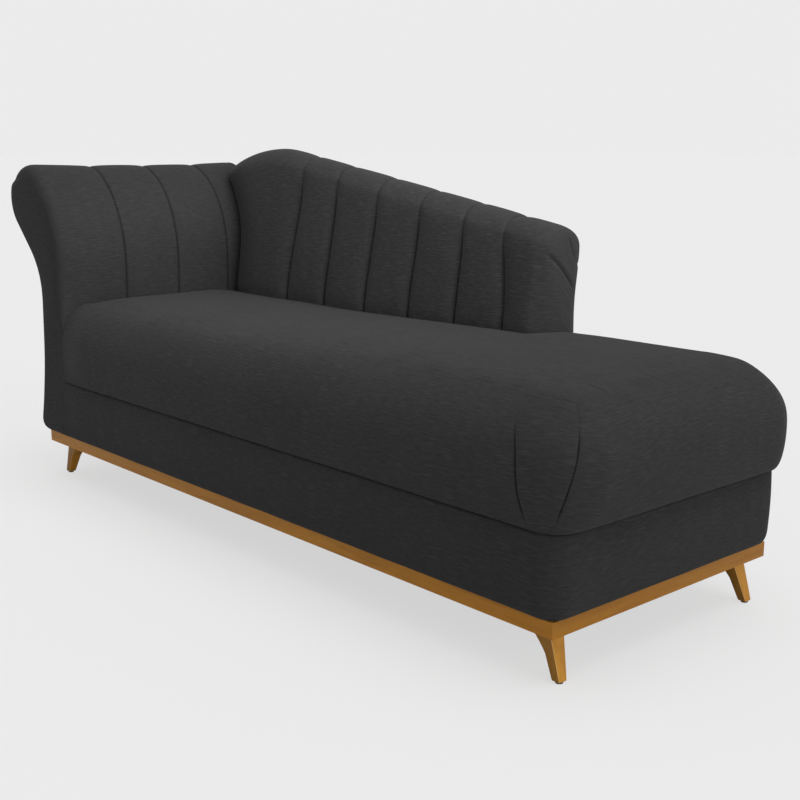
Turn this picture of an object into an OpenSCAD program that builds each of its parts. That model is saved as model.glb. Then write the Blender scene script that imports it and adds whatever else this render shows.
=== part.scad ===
// Recamier with one scroll arm, a sloping channelled back and a timber plinth on four splayed legs.
// Lengths are millimetres. X runs from the arm to the foot end, Y from front to back, Z up from the floor.
// The modules draw from the plinth's front corner at the arm end, and placed() centres the whole.

/* [Plinth] */
// Length of the plinth, from the arm end to the foot end
plinth_l = 1600; // [1400:10:1920]
// Depth of the plinth, front to back
plinth_d = 550; // [500:5:660]
// Height of the plinth's rails
plinth_h = 26; // [20:1:36]
// Width of the plinth's rails, seen from below
plinth_w = 24; // [23:1:24]
// Side of the square blocks glued into the plinth's corners
block_side = 70; // [60:1:90]

/* [Legs] */
// Height of the plinth's underside above the floor
leg_h = 83; // [65:1:110]
// Distance of a leg's top from the plinth's end
leg_inset = 32; // [28:1:40]
// Distance of the front legs from the plinth's front face
leg_front = 29; // [16:1:40]
// Distance of the rear legs from the plinth's rear face
leg_rear = 16; // [16:1:40]
// Length of a leg's flared top, along the plinth
leg_top_l = 47; // [40:1:56]
// Width of a leg's top, across the plinth
leg_top_w = 33; // [33:1:40]
// Length of a leg's foot
leg_foot_l = 16; // [15:1:20]
// Width of a leg's foot
leg_foot_w = 17; // [14:1:22]
// How far a foot stands out from under its top, along the plinth
leg_splay = 23; // [10:1:26]
// Thickness of the glide under a foot
glide_h = 3; // [2:0.5:5]
// Diameter of the glide under a foot
glide_d = 12; // [10:0.5:13]

/* [Base] */
// Height of the upholstered base, from the plinth to the seat's seam
base_h = 134; // [118:1:150]
// Thickness of the base's padded cover
base_over = 15; // [10:1:20]
// Height of the cover's rounded lower edge
base_round = 30; // [15:1:40]
// Radius of the base's upright corners, seen from above
base_corner = 38; // [30:1:60]
// Thickness of the timber rails inside the base
rail_t = 22; // [18:1:28]
// Thickness of the dust cover under the base
dust_t = 1.5; // [1:0.5:3]
// Spacing of the webbing straps across the base
strap_pitch = 105; // [90:5:150]
// Width of a webbing strap
strap_w = 50; // [40:5:60]
// Thickness of a webbing strap
strap_t = 2; // [1.5:0.5:3]
// Thickness of the felt between the webbing and the seat
felt_t = 4; // [3:0.5:8]

/* [Seat] */
// How far the seat swells past the plinth at the foot end
seat_end_over = 54; // [30:1:70]
// How far the seat swells past the plinth at the front and at the back
seat_side_over = 28; // [15:1:45]
// How far the seat is drawn in at its seam from its widest line
seat_tuck = 20; // [8:1:26]
// Height of the widest line of the seat over its seam
seat_belly = 92; // [70:1:110]
// Height from the widest line to the top of the seat's rounded edge
seat_shoulder = 86; // [60:1:95]
// How far the rounded upper edge reaches inwards
seat_edge_run = 80; // [60:5:90]
// Rise of the seat's crown over its rounded edge
seat_crown = 16; // [8:1:24]
// Radius of the seat's upright corners, seen from above
seat_corner = 88; // [80:1:110]
// Depth of the two darts sewn at each corner of the foot end
dart_depth = 4; // [1:0.5:5]

/* [Arm] */
// Thickness of the arm at the seat, from the plinth's arm end to its inner face
arm_in = 118; // [105:1:150]
// Height of the arm over the seat's seam
arm_h = 492; // [460:2:560]
// How far the roll stands out past the plinth's arm end
roll_over = 118; // [90:1:130]
// Radius of the roll
roll_r = 80; // [70:1:90]
// Radius of the arm's inner curve, from the seat up to the roll
arm_sweep = 240; // [225:5:280]
// Inset of the neck under the roll from the plinth's arm end
neck_in = 20; // [10:1:22]
// Radius of the hollow curve under the roll
neck_r = 154; // [120:2:170]
// Height of the neck over the seat's seam
neck_h = 181; // [165:1:205]
// Thickness of the arm's channelled pad
arm_pad_t = 30; // [24:1:36]
// Depth of the arm's sewn seams
arm_seam = 8; // [4:1:12]
// Thickness of the arm's front facing
front_facing_t = 14; // [10:1:24]
// Thickness of the arm's outer panel
panel_t = 8; // [6:1:9]
// Thickness of the curved board under the arm's pad
board_t = 3; // [3:0.5:6]
// Thickness of the arm's ribs
rib_t = 18; // [15:1:22]

/* [Back] */
// Length of the back, from the plinth's arm end to the back's free end
back_l = 1160; // [1000:10:1300]
// Depth of the seat in front of the back
seat_depth = 438; // [410:2:450]
// Height of the back's peak over the seat's seam
back_peak_h = 528; // [512:1:600]
// Distance of the peak from the plinth's arm end
back_peak_x = 285; // [250:5:350]
// Height of the back's free end over the seat's seam
back_end_h = 387; // [340:1:440]
// Lean of the back's front face, in degrees
back_lean = 7.5; // [4:0.5:9]
// Distance between two of the back's sewn seams
channel_w = 142; // [118:0.5:150]
// Place of the upright seam that the others lean towards
fan_x = 788; // [740:2:840]
// Share of their spacing that the seams lose on their way up
fan_share = 0.04; // [0:0.01:0.1]
// Depth of the back's sewn seams
back_seam = 9; // [4:1:14]
// Thickness of the padding over the back's top rail and free end
back_pad_t = 30; // [24:1:36]
// Height of the back's top rail
top_rail_h = 70; // [50:1:80]
// Thickness of the back's posts
post_t = 22; // [18:1:28]

/* [Hidden] */

// Round bores and pins
$fn = 48;
// Clearance between a soft piece and its neighbour
soft_gap = 0.3;
// Clearance of a pin in its bore
pin_gap = 0.2;
// Clearance of the back's pad round its rail, and beside the arm's curve
hood_gap = 0.5;
arm_gap = 2.5;
// Steps in the arm's two curves
arm_n = 9;

cloth = [0.17, 0.17, 0.175];
oak = [0.72, 0.49, 0.20];
pine = [0.86, 0.74, 0.52];

// Levels above the floor
z_plinth = leg_h;
z_base = z_plinth + plinth_h;
z_rail = z_base + dust_t;
z_seam = z_base + base_h;
z_felt = z_seam - felt_t;
z_strap = z_felt - 2 * strap_t;
z_belly = z_seam + seat_belly;
z_shoulder = z_belly + seat_shoulder;
z_seat = z_shoulder + seat_crown * 0.6;
z_arm = z_seam + arm_h;
z_neck = z_seam + neck_h;

// Overall ends, from which the origin is taken
x_centre = (plinth_l + seat_end_over - roll_over) / 2;
y_centre = plinth_d / 2;

// Centres of the arm's curves as [x, z], each tangent to the next
roll_c = [roll_r - roll_over, z_arm - roll_r];
sweep_dx = roll_c[0] - (arm_in - arm_sweep);
sweep_c = [arm_in - arm_sweep, roll_c[1] - sqrt(pow(arm_sweep - roll_r, 2) - pow(sweep_dx, 2))];
sweep_end = atan2(roll_c[1] - sweep_c[1], sweep_dx);
neck_c = [neck_in - neck_r, z_neck];
neck_gap = neck_c - roll_c;
roll_end = 360 + atan2(neck_gap[1], neck_gap[0]) - acos((roll_r + neck_r) / norm(neck_gap));
flare_h = z_neck - z_base - base_round;
flare_w = neck_in + base_over;
flare_r = (pow(flare_h, 2) + pow(flare_w, 2)) / (2 * flare_w);
flare_a = asin(flare_h / flare_r);

// The arm-end rail stands just inside the arm's outer panel
flare_c = [neck_in - flare_r, z_neck];
rail_x = flare_c[0] + sqrt(pow(flare_r + panel_t, 2) - pow(z_strap - z_neck, 2));
rib_in = arm_in - arm_pad_t - board_t;

// The arm's seams keep the back's spacing and run back from the front
arm_seams = [for (i = [1 : 3]) plinth_d - 108 - (3 - i) * channel_w];

// The back's rear face is flush with the base's rear cover
y_rear = plinth_d + base_over;
z_peak = z_seam + back_peak_h;
z_end = z_seam + back_end_h;
back_slope = (z_end - z_peak) / (back_l - back_peak_x);
z_meet = z_arm - 18;
x_meet = arm_x(z_meet);
hump_r = pow(back_peak_x - x_meet, 2) / (2 * (z_peak - z_meet));
top_round = 41;
hood_drop = 75;
pad_end_x = back_l - back_pad_t;
lean_from = z_seat + 5;
lean_step = tan(back_lean);
// Front face of the board behind the back's pad
board_y = seat_depth + 32;
board_step = 0.095;
post_x = [arm_in + 4, arm_in + 4 + (pad_end_x - arm_in) / 3, arm_in + 4 + (pad_end_x - arm_in) * 2 / 3,
    pad_end_x - post_t];
screw_x = [for (i = [0 : 3]) 160 + i * (plinth_l - 320) / 3];
screw_y = [160, plinth_d - 160];
screw_l = 58;
screw_d = 5;
bolt_d = 8;
tee_d = 15;

// A mirror image for each corner: 0 at the arm end or the front, 1 at the foot end or the rear
CORNERS = [[0, 0], [1, 0], [0, 1], [1, 1]];

function arc(c, r, a0, a1, n) =
    [for (i = [0 : n]) let(a = a0 + (a1 - a0) * i / n) c + r * [cos(a), sin(a)]];
function smooth(t) = let(u = max(0, min(1, t))) u * u * (3 - 2 * u);
function reversed(list) = [for (i = [len(list) - 1 : -1 : 0]) list[i]];

// X of the arm's inner face at a height
function arm_x(z) =
    z <= sweep_c[1] ? arm_in
    : z <= sweep_c[1] + arm_sweep * sin(sweep_end)
        ? sweep_c[0] + sqrt(pow(arm_sweep, 2) - pow(z - sweep_c[1], 2))
        : roll_c[0] + sqrt(max(0, pow(roll_r, 2) - pow(z - roll_c[1], 2)));

// The arm's padded curve as [x, z], from the seam up the inner face and over the roll, o deep under the cover
function arm_upper(o, n) = concat(
    [for (i = [0 : 2]) [arm_in - o, z_seam + (sweep_c[1] - z_seam) * i / 3]],
    arc(sweep_c, arm_sweep - o, 0, sweep_end, n),
    [for (i = [1 : n]) arc(roll_c, roll_r - o, sweep_end, roll_end, n)[i]],
    [neck_c + (neck_r + o) * [cos(roll_end - 180), sin(roll_end - 180)]]);

// The arm's outer curve as [x, z], from the roll's underside down to a level
function arm_lower(o, z_low) = concat(
    arc(neck_c, neck_r + o, roll_end - 180, 0, 8),
    [for (i = [1 : 8]) let(a = asin((z_low - z_neck) / (flare_r + o)) * i / 8)
        flare_c + (flare_r + o) * [cos(a), sin(a)]]);

// The rounded lower edge of the base's cover as [outwards, z], from its widest line in to the plinth
function lower_edge(w) = [for (i = [1 : 5]) let(a = 90 * i / 5)
    [w * cos(a), z_base + base_round * (1 - sin(a))]];

// The whole outline of the arm as [x, z]
function arm_outline() = concat(
    [[arm_in, z_base]],
    arm_upper(0, arm_n),
    arm_lower(0, z_base + base_round),
    [for (p = lower_edge(base_over)) [-p[0], p[1]]]);

// Height of the back's ridge
function ridge(x) = x < back_peak_x ? z_peak - pow(back_peak_x - x, 2) / (2 * hump_r)
    : z_peak + back_slope * (x - back_peak_x);

// Fall of a channel's surface across its width, 1 at a seam and 0 at its crown
function fall(t) = pow(abs(2 * t - 1), 3);

module placed() {
    translate([-x_centre, -y_centre, 0]) children();
}

// Draws its children once, mirrored into one corner of the plinth
module at_corner(c) {
    translate([c[0] * plinth_l, c[1] * plinth_d, 0]) mirror([c[0], 0, 0]) mirror([0, c[1], 0]) children();
}

// Triangles between rings of n points, wound anticlockwise as seen from the last ring's side
function side_faces(n, rings) = [for (k = [0 : rings - 2]) for (i = [0 : n - 1]) each [
    [k * n + i, (k + 1) * n + i, (k + 1) * n + (i + 1) % n],
    [k * n + i, (k + 1) * n + (i + 1) % n, k * n + (i + 1) % n]]];

// A closed skin over rings of points, each end a fan from the middle point given for it
module loft(rings, first_mid, last_mid) {
    n = len(rings[0]);
    top = (len(rings) - 1) * n;
    mid = len(rings) * n;
    polyhedron(
        points = concat([for (r = rings) each r], [first_mid, last_mid]),
        faces = concat(
            side_faces(n, len(rings)),
            [for (i = [0 : n - 1]) [i, (i + 1) % n, mid]],
            [for (i = [0 : n - 1]) [top + (i + 1) % n, top + i, mid + 1]]));
}

// Index of the point in a list that is nearest to p
function nearest(list, p) =
    let(d = [for (q = list) norm(q - p)], least = min(d))
    [for (j = [0 : len(d) - 1]) if (d[j] == least) j][0];

// A closed skin over thick sections: each end is a strip between the section's outer and inner curves,
// which run the same way
module thick_loft(outers, inners) {
    n = len(outers[0]);
    m = len(inners[0]);
    top = (len(outers) - 1) * (n + m);
    near = [for (i = [0 : n - 2]) nearest(inners[0], (outers[0][i] + outers[0][i + 1]) / 2)];
    strip = concat(
        [for (i = [0 : n - 2]) [i, i + 1, n + m - 1 - near[i]]],
        [for (j = [0 : m - 2]) [n + m - 2 - j, n + m - 1 - j, len([for (a = near) if (a <= j) a])]]);
    polyhedron(
        points = [for (k = [0 : len(outers) - 1]) each concat(outers[k], reversed(inners[k]))],
        faces = concat(
            side_faces(n + m, len(outers)),
            strip,
            [for (t = strip) [top + t[2], top + t[1], top + t[0]]]));
}

// A solid from an outline in [x, z], between two depths
module upright(outline, y0, y1) {
    translate([0, y1, 0]) rotate([90, 0, 0]) linear_extrude(y1 - y0) polygon(outline);
}

// A solid from an outline in [y, z], between two places along the plinth
module crosswise(outline, x0, x1) {
    translate([x0, 0, 0]) rotate([90, 0, 90]) linear_extrude(x1 - x0) polygon(outline);
}

// Plinth: four mitred rails
module plinth_rail(length) {
    translate([0, 0, z_plinth]) linear_extrude(plinth_h)
        polygon([[0, 0], [length, 0], [length - plinth_w, plinth_w], [plinth_w, plinth_w]]);
}

// Screws from under the plinth up into the base's rails, grown by a clearance for their bores
module screws(points, grow) {
    for (p = points) translate([p[0], p[1], z_plinth]) {
        cylinder(d = screw_d + 2 * grow, h = screw_l + grow);
        cylinder(d1 = 2 * screw_d + 2 * grow, d2 = screw_d + 2 * grow, h = screw_d / 2);
    }
}

function screw_points() = concat(
    [for (x = screw_x) for (y = [rail_t / 2, plinth_d - rail_t / 2]) [x, y]],
    [for (y = screw_y) for (x = [plinth_w - screw_d - 1, plinth_l - rail_t / 2]) [x, y]]);

module plinth_front() {
    color(oak) placed() difference() {
        plinth_rail(plinth_l);
        screws(screw_points(), pin_gap);
    }
}
module plinth_rear() {
    color(oak) placed() difference() {
        translate([0, plinth_d, 0]) mirror([0, 1, 0]) plinth_rail(plinth_l);
        screws(screw_points(), pin_gap);
    }
}
module plinth_arm_end() {
    color(oak) placed() difference() {
        mirror([1, 0, 0]) rotate([0, 0, 90]) plinth_rail(plinth_d);
        screws(screw_points(), pin_gap);
    }
}
module plinth_foot_end() {
    color(oak) placed() difference() {
        translate([plinth_l, 0, 0]) rotate([0, 0, 90]) plinth_rail(plinth_d);
        screws(screw_points(), pin_gap);
    }
}

// A leg's distance from the front or the rear face, and its bolt's axis, measured from the plinth's corner
function leg_y(c) = c[1] == 0 ? leg_front : leg_rear;
function bolt_at(c) = [leg_inset + 6, leg_y(c) + leg_top_w / 2];
bolt_down = 28;

module bolt_bore(c, d) {
    translate([bolt_at(c)[0], bolt_at(c)[1], z_plinth - bolt_down]) cylinder(d = d, h = bolt_down + plinth_h);
}

// A tee nut let into the top of its block, grown by a clearance for its seat
module tee_nut(c, grow) {
    translate([bolt_at(c)[0], bolt_at(c)[1], z_base - 10]) cylinder(d = bolt_d + 2 + 2 * grow, h = 9);
    translate([bolt_at(c)[0], bolt_at(c)[1], z_base - 1.5]) cylinder(d = tee_d + 2 * grow, h = 1.5);
}

module corner_blocks() {
    color(pine) placed() for (c = CORNERS) at_corner(c) difference() {
        translate([plinth_w, plinth_w, z_plinth]) cube([block_side, block_side, plinth_h]);
        bolt_bore(c, bolt_d + 2 * pin_gap);
        tee_nut(c, pin_gap);
    }
}

module tee_nuts() {
    color("silver") placed() for (c = CORNERS) at_corner(c) difference() {
        tee_nut(c, 0);
        bolt_bore(c, bolt_d + pin_gap);
    }
}

module hanger_bolts() {
    color("silver") placed() for (c = CORNERS) at_corner(c)
        translate([bolt_at(c)[0], bolt_at(c)[1], z_plinth - bolt_down])
            cylinder(d = bolt_d, h = bolt_down + plinth_h - 2);
}

// One leg: it tapers both ways, splays along the plinth and flares inwards into its top
leg_out = leg_inset - leg_splay;
module leg(c) {
    flare = leg_h / 2;
    inner = leg_out + leg_foot_l;
    knee = inner + 0.63 * leg_splay;
    run = leg_inset + leg_top_l - knee;
    side = concat(
        [[leg_out, glide_h], [inner, glide_h]],
        [for (i = [0 : 6]) let(t = i / 6) [knee + run * t * (0.7 + 0.3 * t), leg_h - flare * (1 - t)]],
        [[leg_inset, leg_h]]);
    front = [[leg_y(c), glide_h], [leg_y(c) + leg_foot_w, glide_h],
        [leg_y(c) + leg_top_w, leg_h], [leg_y(c), leg_h]];
    color(oak) placed() at_corner(c) difference() {
        intersection() {
            upright(side, 0, leg_y(c) + leg_top_w);
            crosswise(front, 0, leg_inset + leg_top_l);
        }
        bolt_bore(c, bolt_d + pin_gap);
    }
}
module glide(c) {
    color("dimgray") placed() at_corner(c)
        translate([leg_out + leg_foot_l / 2, leg_y(c) + leg_foot_w / 2, 0])
            cylinder(d = glide_d, h = glide_h);
}
module leg_front_arm() { leg(CORNERS[0]); }
module leg_front_foot() { leg(CORNERS[1]); }
module leg_rear_arm() { leg(CORNERS[2]); }
module leg_rear_foot() { leg(CORNERS[3]); }
module glide_front_arm() { glide(CORNERS[0]); }
module glide_front_foot() { glide(CORNERS[1]); }
module glide_rear_arm() { glide(CORNERS[2]); }
module glide_rear_foot() { glide(CORNERS[3]); }

module plinth_screws() {
    color("silver") placed() screws(screw_points(), 0);
}

// Base: a timber box on the plinth, webbing over it and a padded cover round it
module dust_cover() {
    color([0.1, 0.1, 0.1]) placed() difference() {
        translate([rail_x, 0, z_base]) cube([plinth_l - rail_x, plinth_d, dust_t]);
        screws(screw_points(), pin_gap);
    }
}
module base_board(x0, y0, x1, y1) {
    difference() {
        translate([x0, y0, z_rail]) cube([x1 - x0, y1 - y0, z_strap - z_rail]);
        screws(screw_points(), pin_gap);
        post_bolt_shafts(bolt_d + 2 * pin_gap);
    }
}
module base_rail_front() {
    color(pine) placed() base_board(rail_x, 0, plinth_l, rail_t);
}
module base_rail_rear() {
    color(pine) placed() base_board(rail_x, plinth_d - rail_t, plinth_l, plinth_d);
}
module base_rail_arm_end() {
    color(pine) placed() base_board(rail_x, rail_t, rail_x + rail_t, plinth_d - rail_t);
}
module base_rail_foot_end() {
    color(pine) placed() base_board(plinth_l - rail_t, rail_t, plinth_l, plinth_d - rail_t);
}
module base_stretchers() {
    color(pine) placed() for (i = [1, 3])
        translate([post_x[i] + 2 * post_t, rail_t, z_rail])
            cube([rail_t, plinth_d - 2 * rail_t, z_strap - z_rail - 25]);
}

// Straps across the base, shared out in the bays between the back's posts and beyond the last one
bays = [for (i = [0 : 3]) [post_x[i] + post_t, i < 3 ? post_x[i + 1] : plinth_l - rail_t]];
module webbing_across() {
    color([0.25, 0.23, 0.2]) placed() for (b = bays)
        let(n = round((b[1] - b[0]) / strap_pitch), step = (b[1] - b[0]) / n)
            for (i = [0 : n - 1])
                translate([b[0] + step * (i + 0.5) - strap_w / 2, 2, z_strap])
                    cube([strap_w, plinth_d - 4, strap_t]);
}

// Straps along the base: nailed under the arm's lower stretchers, and packed up on the foot end's rail
arm_bay = (plinth_d - 3 * rib_t) / 2;
along_y = [rib_t + arm_bay * 0.32, rib_t + arm_bay * 0.8, 2 * rib_t + arm_bay * 1.3];
module webbing_along() {
    x0 = rib_in - 18;
    color([0.25, 0.23, 0.2]) placed() for (y = along_y) {
        translate([x0, y - strap_w / 2, z_strap + strap_t]) cube([plinth_l - 2 - x0, strap_w, strap_t]);
        translate([plinth_l - rail_t + 2, y - strap_w / 2, z_strap]) cube([rail_t - 4, strap_w, strap_t]);
    }
}
module seat_felt() {
    color([0.55, 0.53, 0.5]) placed() translate([0, 0, z_felt]) linear_extrude(felt_t) polygon([
        [arm_in + 2, 2], [plinth_l - 2, 2], [plinth_l - 2, plinth_d - 2], [back_l + 2, plinth_d - 2],
        [back_l + 2, seat_depth], [arm_in + 2, seat_depth]]);
}

// Radius of the cover's upper edge, where it turns in to the seat's seam
cover_top = base_over + seat_tuck - seat_side_over;
// The cover's section as [outwards, z]: rounded in to the plinth below and to the seam above
function cover_section() = concat(
    [[0, z_base]],
    reversed(lower_edge(base_over)),
    arc([base_over - cover_top, z_seam - cover_top], cover_top, 0, 90, 4),
    [[0, z_seam]]);
module cover_straight(length) {
    rotate([90, 0, 90]) linear_extrude(length) polygon([for (p = cover_section()) [-p[0], p[1]]]);
}
module cover_corner() {
    r = base_corner - base_over;
    difference() {
        rotate_extrude(angle = 90, $fn = 96) polygon(concat(
            [[0, z_base]],
            [for (p = cover_section()) [r + p[0], p[1]]],
            [[0, z_seam]]));
        translate([-1, -1, 0]) cube([r + 1, r + 1, z_seam + 1]);
    }
}

cover_r = base_corner - base_over;
module base_cover_front() {
    color(cloth) placed() {
        translate([arm_in, 0, 0]) cover_straight(plinth_l - cover_r - arm_in);
        translate([plinth_l - cover_r, cover_r, 0]) rotate([0, 0, -90]) cover_corner();
    }
}
module base_cover_foot_end() {
    color(cloth) placed()
        translate([plinth_l, cover_r, 0]) rotate([0, 0, 90]) cover_straight(plinth_d - 2 * cover_r);
}
module base_cover_rear() {
    color(cloth) placed() {
        translate([plinth_l - cover_r, plinth_d, 0]) rotate([0, 0, 180])
            cover_straight(plinth_l - cover_r - arm_in);
        translate([plinth_l - cover_r, plinth_d - cover_r, 0]) cover_corner();
    }
}

// Seat: a crowned pad with swelling free sides, straight against the arm and notched round the back
pad_x0 = arm_in + soft_gap;
notch_x = back_l + soft_gap;
notch_y = seat_depth - soft_gap;
seat_heart = [notch_x + 140, seat_depth / 2];

// Share of the crown at a place on the seat: none along the free sides, and the most towards the foot end
function crown_at(x, y) =
    let(
        across = 2 * (y + seat_side_over) / (plinth_d + 2 * seat_side_over) - 1,
        end = (plinth_l + seat_end_over - x) / (seat_edge_run * 2))
    (1 - pow(across, 4)) * smooth(end) * (0.35 + 0.65 * smooth((x - back_l / 2) / (back_l / 2)));

// The front corner at one level, of radius r: a dart on the straight before it and one on its arc, which lean
// away from each other on their way up and die out under the rounded edge
function seat_corner_points(x1, y0, r, z) =
    let(
        up = max(0, min(1, (z - z_seam - 20) / (seat_belly * 1.5))),
        deep = dart_depth * smooth((z_shoulder - 23 - z) / 60),
        x = x1 - r - 10 - 18 * up,
        turn = 53 - 15 * up)
    concat(
        [[x - 7, y0], [x, y0 + deep], [x + 7, y0]],
        [for (a = [90, 76, 67, turn + 7, turn, turn - 7, 20, 10, 0])
            let(q = a == turn ? r - deep : r)
            [x1 - r + q * cos(a), y0 + r - q * sin(a)]]);

// One level of the pad: its free sides are drawn in by d, and a share of the crown lifts it
function seat_ring(d, z, share) =
    let(
        x1 = plinth_l + seat_end_over - d,
        y0 = -seat_side_over + d,
        y1 = plinth_d + seat_side_over - d,
        r = seat_corner - d * 0.8,
        corner = seat_corner_points(x1, y0, r, z),
        x0 = corner[0][0],
        flat = concat(
            [for (i = [0 : 9]) [pad_x0 + (x0 - pad_x0) * i / 10, y0]],
            corner,
            [for (i = [1 : 5]) [x1, y0 + r + (y1 - y0 - 2 * r) * i / 6]],
            [for (p = reversed(corner)) [p[0], y0 + y1 - p[1]]],
            [for (i = [1 : 4]) [x0 + (notch_x - x0) * i / 4, y1]],
            [for (i = [1 : 3]) [notch_x, y1 + (notch_y - y1) * i / 3]],
            [for (i = [1 : 10]) [notch_x + (pad_x0 - notch_x) * i / 10, notch_y]],
            [for (i = [1 : 4]) [pad_x0, notch_y + (y0 - notch_y) * i / 5]]))
    [for (p = flat) [p[0], p[1], z + share * seat_crown * crown_at(p[0], p[1])]];

module seat_pad() {
    tuck = [for (a = [0, 22.5, 45, 67.5])
        seat_ring(seat_tuck * (1 - sin(a)), z_belly - seat_belly * cos(a), 0)];
    edge = [for (i = [0 : 7]) let(a = 90 * i / 7)
        seat_ring(seat_edge_run * (1 - cos(a)), z_belly + seat_shoulder * sin(a), 1 - cos(a))];
    top = [for (s = [0.85, 0.65, 0.42, 0.18]) [for (p = edge[7])
        let(q = [seat_heart[0], seat_heart[1]] + ([p[0], p[1]] - seat_heart) * s)
        [q[0], q[1], z_shoulder + seat_crown * crown_at(q[0], q[1])]]];
    color(cloth) placed() loft(concat(tuck, edge, top),
        [seat_heart[0], seat_heart[1], z_seam],
        [seat_heart[0], seat_heart[1], z_shoulder + seat_crown * crown_at(seat_heart[0], seat_heart[1])]);
}

// Arm: ribs and stretchers, a curved board over them, a channelled pad, an outer panel and two facings
function rib_outline() = concat(
    [[rib_in, z_strap]],
    arm_upper(arm_pad_t + board_t, arm_n),
    arm_lower(panel_t, z_strap));
module arm_rib(y0) {
    difference() {
        upright(rib_outline(), y0, y0 + rib_t);
        // Lightening hole in the roll
        translate([roll_c[0] + 30, y0 - 1, roll_c[1] - 52]) rotate([-90, 0, 0])
            cylinder(d = 40, h = rib_t + 2);
    }
}
module arm_rib_front() { color(pine) placed() arm_rib(0); }
module arm_rib_middle() {
    y0 = (plinth_d - rib_t) / 2;
    color(pine) placed() {
        arm_rib(y0);
        translate([rail_x + rail_t, y0, z_rail + 20])
            cube([rib_in - rail_x - rail_t, rib_t, z_strap - z_rail - 20]);
    }
}
module arm_rib_rear() { color(pine) placed() arm_rib(plinth_d - rib_t); }
module arm_stretchers() {
    color(pine) placed() for (y = [rib_t, 2 * rib_t + arm_bay]) {
        translate([roll_c[0] - 20, y, roll_c[1] - 10]) cube([40, arm_bay, 40]);
        translate([neck_in + panel_t + 6, y, z_neck - 20]) cube([20, arm_bay, 45]);
        translate([rib_in - 20, y, z_felt]) cube([20, arm_bay, 45]);
    }
}
module arm_board() {
    color([0.5, 0.36, 0.22]) placed()
        upright(concat(arm_upper(arm_pad_t + board_t, arm_n), reversed(arm_upper(arm_pad_t, arm_n))),
            0, plinth_d);
}

// Stations along the arm's depth with the depth of the seam there, closer together at each seam
function arm_stations() = concat(
    [[0, 0], [arm_seams[0] * 0.5, 0], [arm_seams[0] * 0.86, 0.25]],
    [for (i = [0 : 1]) for (t = [0, 0.07, 0.2, 0.5, 0.8, 0.93])
        [arm_seams[i] + (arm_seams[i + 1] - arm_seams[i]) * t, fall(t)]],
    [[arm_seams[2], 1], [arm_seams[2] + 10, 0.6], [arm_seams[2] + 28, 0.15]],
    [[plinth_d - 60, 0], [plinth_d, 0]]);

// How much of a seam's depth there is at point i of n: it dies out where the pad meets the outer panel
function arm_show(i, n) = smooth((n - i) / 3);

module arm_pad() {
    outer = arm_upper(0, arm_n);
    sunk = arm_upper(arm_seam, arm_n);
    inner = arm_upper(arm_pad_t, arm_n);
    n = len(outer) - 1;
    color(cloth) placed() thick_loft(
        [for (s = arm_stations()) [for (i = [n : -1 : 0])
            let(p = outer[i] + (sunk[i] - outer[i]) * s[1] * arm_show(i, n)) [p[0], s[0], p[1]]]],
        [for (s = arm_stations()) [for (p = reversed(inner)) [p[0], s[0], p[1]]]]);
}
module arm_outer_panel() {
    outer = concat(arm_lower(0, z_base + base_round), [for (p = lower_edge(base_over)) [-p[0], p[1]]]);
    inner = concat([[rail_x, z_base]], reversed(arm_lower(panel_t, z_strap)));
    color(cloth) placed() upright(concat(outer, inner), 0, plinth_d);
}
module arm_front_facing() {
    color(cloth) placed() upright(arm_outline(), -front_facing_t, 0);
}
module arm_rear_facing() {
    color(cloth) placed() upright(arm_outline(), plinth_d, y_rear);
}

// Back: posts, rails and a board inside a channelled pad that hooks over the sloping top rail
function board_front(z) = board_y + board_step * (z - z_seam);
function under_ridge(d, x0, x1, z0) = concat(
    [[x1, z0], [x1, ridge(x1) - d]],
    [for (i = [6 : -1 : 1]) let(x = x0 + (back_peak_x - x0) * i / 6) [x, ridge(x) - d]],
    [[x0, ridge(x0) - d], [x0, z0]]);

module post(x) {
    z_top = z_peak;
    tail = plinth_d - 2 * rail_t;
    difference() {
        intersection() {
            upright(under_ridge(back_pad_t + top_rail_h, post_x[0], pad_end_x, z_rail), seat_depth, plinth_d);
            crosswise([[tail, z_rail + 30], [plinth_d - rail_t, z_rail + 30], [plinth_d - rail_t, z_strap],
            [plinth_d, z_strap], [plinth_d, z_top], [board_front(z_top) + board_t, z_top],
            [board_front(z_strap) + board_t, z_strap], [tail, z_strap]], x, x + post_t);
        }
        post_bolt_shafts(bolt_d + 2 * pin_gap);
    }
}
module back_posts() {
    color(pine) placed() for (x = post_x) post(x);
}

// Two bolts through each post's tail and the rear rail, heads inwards
module post_bolt_shafts(d) {
    for (x = post_x) for (z = [z_rail + 45, z_strap - 25])
        translate([x + post_t / 2, plinth_d - 2 * rail_t, z]) rotate([-90, 0, 0])
            cylinder(d = d, h = 2 * rail_t);
}
module post_bolts() {
    color("silver") placed() {
        post_bolt_shafts(bolt_d);
        for (x = post_x) for (z = [z_rail + 45, z_strap - 25])
            translate([x + post_t / 2, plinth_d - 2 * rail_t - 4, z]) rotate([-90, 0, 0])
                cylinder(d = 18, h = 4);
    }
}
module back_top_rail() {
    x0 = post_x[0];
    z_low = z_end - back_pad_t - top_rail_h - 5;
    z_high = z_peak;
    rail = concat(
        [for (i = [0 : 6]) let(x = x0 + (back_peak_x - x0) * i / 6) [x, ridge(x) - back_pad_t]],
        [[pad_end_x, ridge(pad_end_x) - back_pad_t], [pad_end_x, ridge(pad_end_x) - back_pad_t - top_rail_h]],
        [for (i = [6 : -1 : 0]) let(x = x0 + (back_peak_x - x0) * i / 6)
            [x, ridge(x) - back_pad_t - top_rail_h]]);
    color(pine) placed() intersection() {
        upright(rail, seat_depth, plinth_d);
        crosswise([[board_front(z_low) + board_t, z_low], [plinth_d, z_low], [plinth_d, z_high],
            [board_front(z_high) + board_t, z_high]], x0, pad_end_x);
    }
}
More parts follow.
